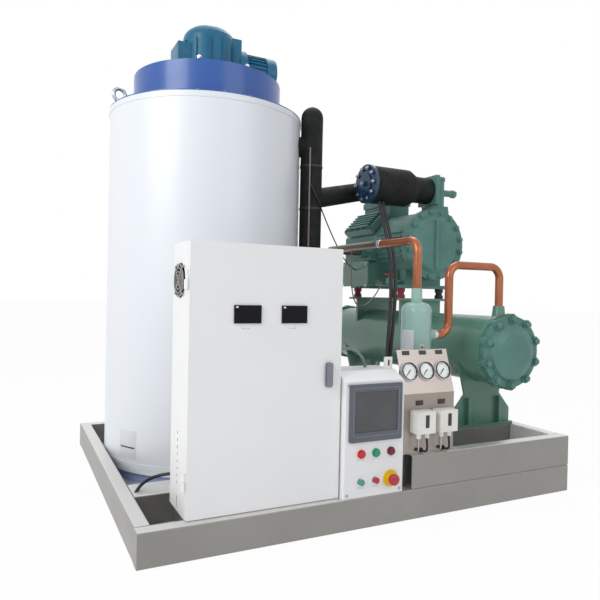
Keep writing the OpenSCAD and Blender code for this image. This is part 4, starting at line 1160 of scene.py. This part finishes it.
class FLAKE_OT_pipework(bpy.types.Operator):
    """Dress the refrigeration side: brazed rings, screws, bolts, thin tubes, bare plates and straps"""

    bl_idname = "flake.pipework"
    bl_label = "Pipework"

    def execute(self, context):
        sleeves = bmesh.new()
        sleeve = [(0.0176, -0.012), (0.0192, -0.009), (0.0196, 0.0), (0.0192, 0.009), (0.0176, 0.012)]
        for place, axis in (
            ((0.242, -0.30, 1.045), (0, 1, 0)),
            ((0.242, -0.569, 0.83), (0, 0, 1)),
            ((0.69, -0.569, 0.765), (0, 0, 1)),
            ((0.335, -0.569, 0.657), (1, 0, 0)),
        ):
            lathe(sleeves, sleeve, place, axis)
        piece("brazed_rings", sleeves, "tag_silver")
        lo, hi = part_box("terminal_box")
        corners = [
            ((lo[0], y, z), (-1, 0, 0))
            for y in (lo[1] + 0.016, hi[1] - 0.016)
            for z in (lo[2] + 0.016, hi[2] - 0.016)
        ]
        heads("terminal_screws", corners, 0.0055, 0.004, corners=16)
        lo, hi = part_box("filter_cover")
        cy, cz = (lo[1] + hi[1]) / 2, (lo[2] + hi[2]) / 2
        spots = []
        bolt_circle = 0.077
        for k in range(10):
            t = math.radians(36 * k + 18)
            spot = (lo[0] + 0.0115, cy + bolt_circle * math.sin(t), cz + bolt_circle * math.cos(t))
            spots.append((spot, (-1, 0, 0)))
        spots.append(((lo[0], cy, cz), (-1, 0, 0)))
        heads("cover_bolts", spots, 0.0075, 0.007)
        rx, ry, r = 0.0414, 0.0034, 0.052
        side = Vector((-0.55, -0.83, 0.0)).normalized()
        path = [Vector((rx, ry, z)) + side * (r + 0.005) for z in (0.74, 0.9, 1.1, 1.3, 1.5)]
        tubes = bmesh.new()
        tube(tubes, path, 0.0048)
        piece("strapped_tube", tubes, "copper")
        capillary = [
            (0.242, -0.054, 1.0285),
            (0.242, -0.055, 0.95),
            (0.236, -0.06, 0.8),
            (0.236, -0.06, 0.69),
            (0.33, -0.05, 0.72),
            (0.42, -0.03, 0.83),
            (0.452, -0.01, 0.885),
        ]
        thin = bmesh.new()
        tube(thin, smooth_path(capillary, 40), 0.003, 10)
        piece("oil_capillary", thin, "copper")
        body, shell = (0.242, -0.569), 0.061
        card = bmesh.new()
        bent_plate(card, body, shell, 171.0, 225.0, 0.59, 0.68)
        bent_plate(card, body, shell, 250.0, 262.0, 0.602, 0.624)
        piece("separator_plates", card, "tag_pale")
        spot = bmesh.new()
        bent_plate(spot, body, shell + 0.0012, 252.5, 259.5, 0.607, 0.619, 0.0004)
        piece("separator_spot", spot, "red_spot")
        straps = bmesh.new()
        ring = [(r + 0.0005, -0.006), (r + 0.0022, -0.005), (r + 0.0022, 0.005), (r + 0.0005, 0.006)]
        for z in (0.82, 1.02, 1.22, 1.42):
            lathe(straps, ring, (rx, ry, z), steps=64)
        piece("riser_straps", straps, "hose_rubber")
        return {"FINISHED"}


class FLAKE_PT_panel(bpy.types.Panel):
    """Sidebar panel with the steps of the finish"""

    bl_label = "Ice machine"
    bl_idname = "FLAKE_PT_panel"
    bl_space_type = "VIEW_3D"
    bl_region_type = "UI"
    bl_category = "Ice machine"

    def draw(self, context):
        for step in STEPS:
            self.layout.operator(step.bl_idname)
        for group in ("flake_colours", "flake_sizes", "flake_stage"):
            box = self.layout.box()
            holder = getattr(context.scene, group)
            for key in holder.__annotations__:
                box.prop(holder, key)


STEPS = (
    FLAKE_OT_stage,
    FLAKE_OT_finishes,
    FLAKE_OT_hoses,
    FLAKE_OT_drum,
    FLAKE_OT_cabinet,
    FLAKE_OT_gauges,
    FLAKE_OT_pipework,
)
GROUPS = {"flake_colours": FlakeColours, "flake_sizes": FlakeSizes, "flake_stage": FlakeStage}


def register():
    for kind in (*GROUPS.values(), *STEPS, FLAKE_PT_panel):
        bpy.utils.register_class(kind)
    for name, kind in GROUPS.items():
        setattr(bpy.types.Scene, name, PointerProperty(type=kind))


def unregister():
    for name in GROUPS:
        delattr(bpy.types.Scene, name)
    for kind in (FLAKE_PT_panel, *reversed(STEPS), *GROUPS.values()):
        bpy.utils.unregister_class(kind)


def main():
    register()
    for step in STEPS:
        group, name = step.bl_idname.split(".")
        getattr(getattr(bpy.ops, group), name)()


if __name__ == "__main__":
    main()
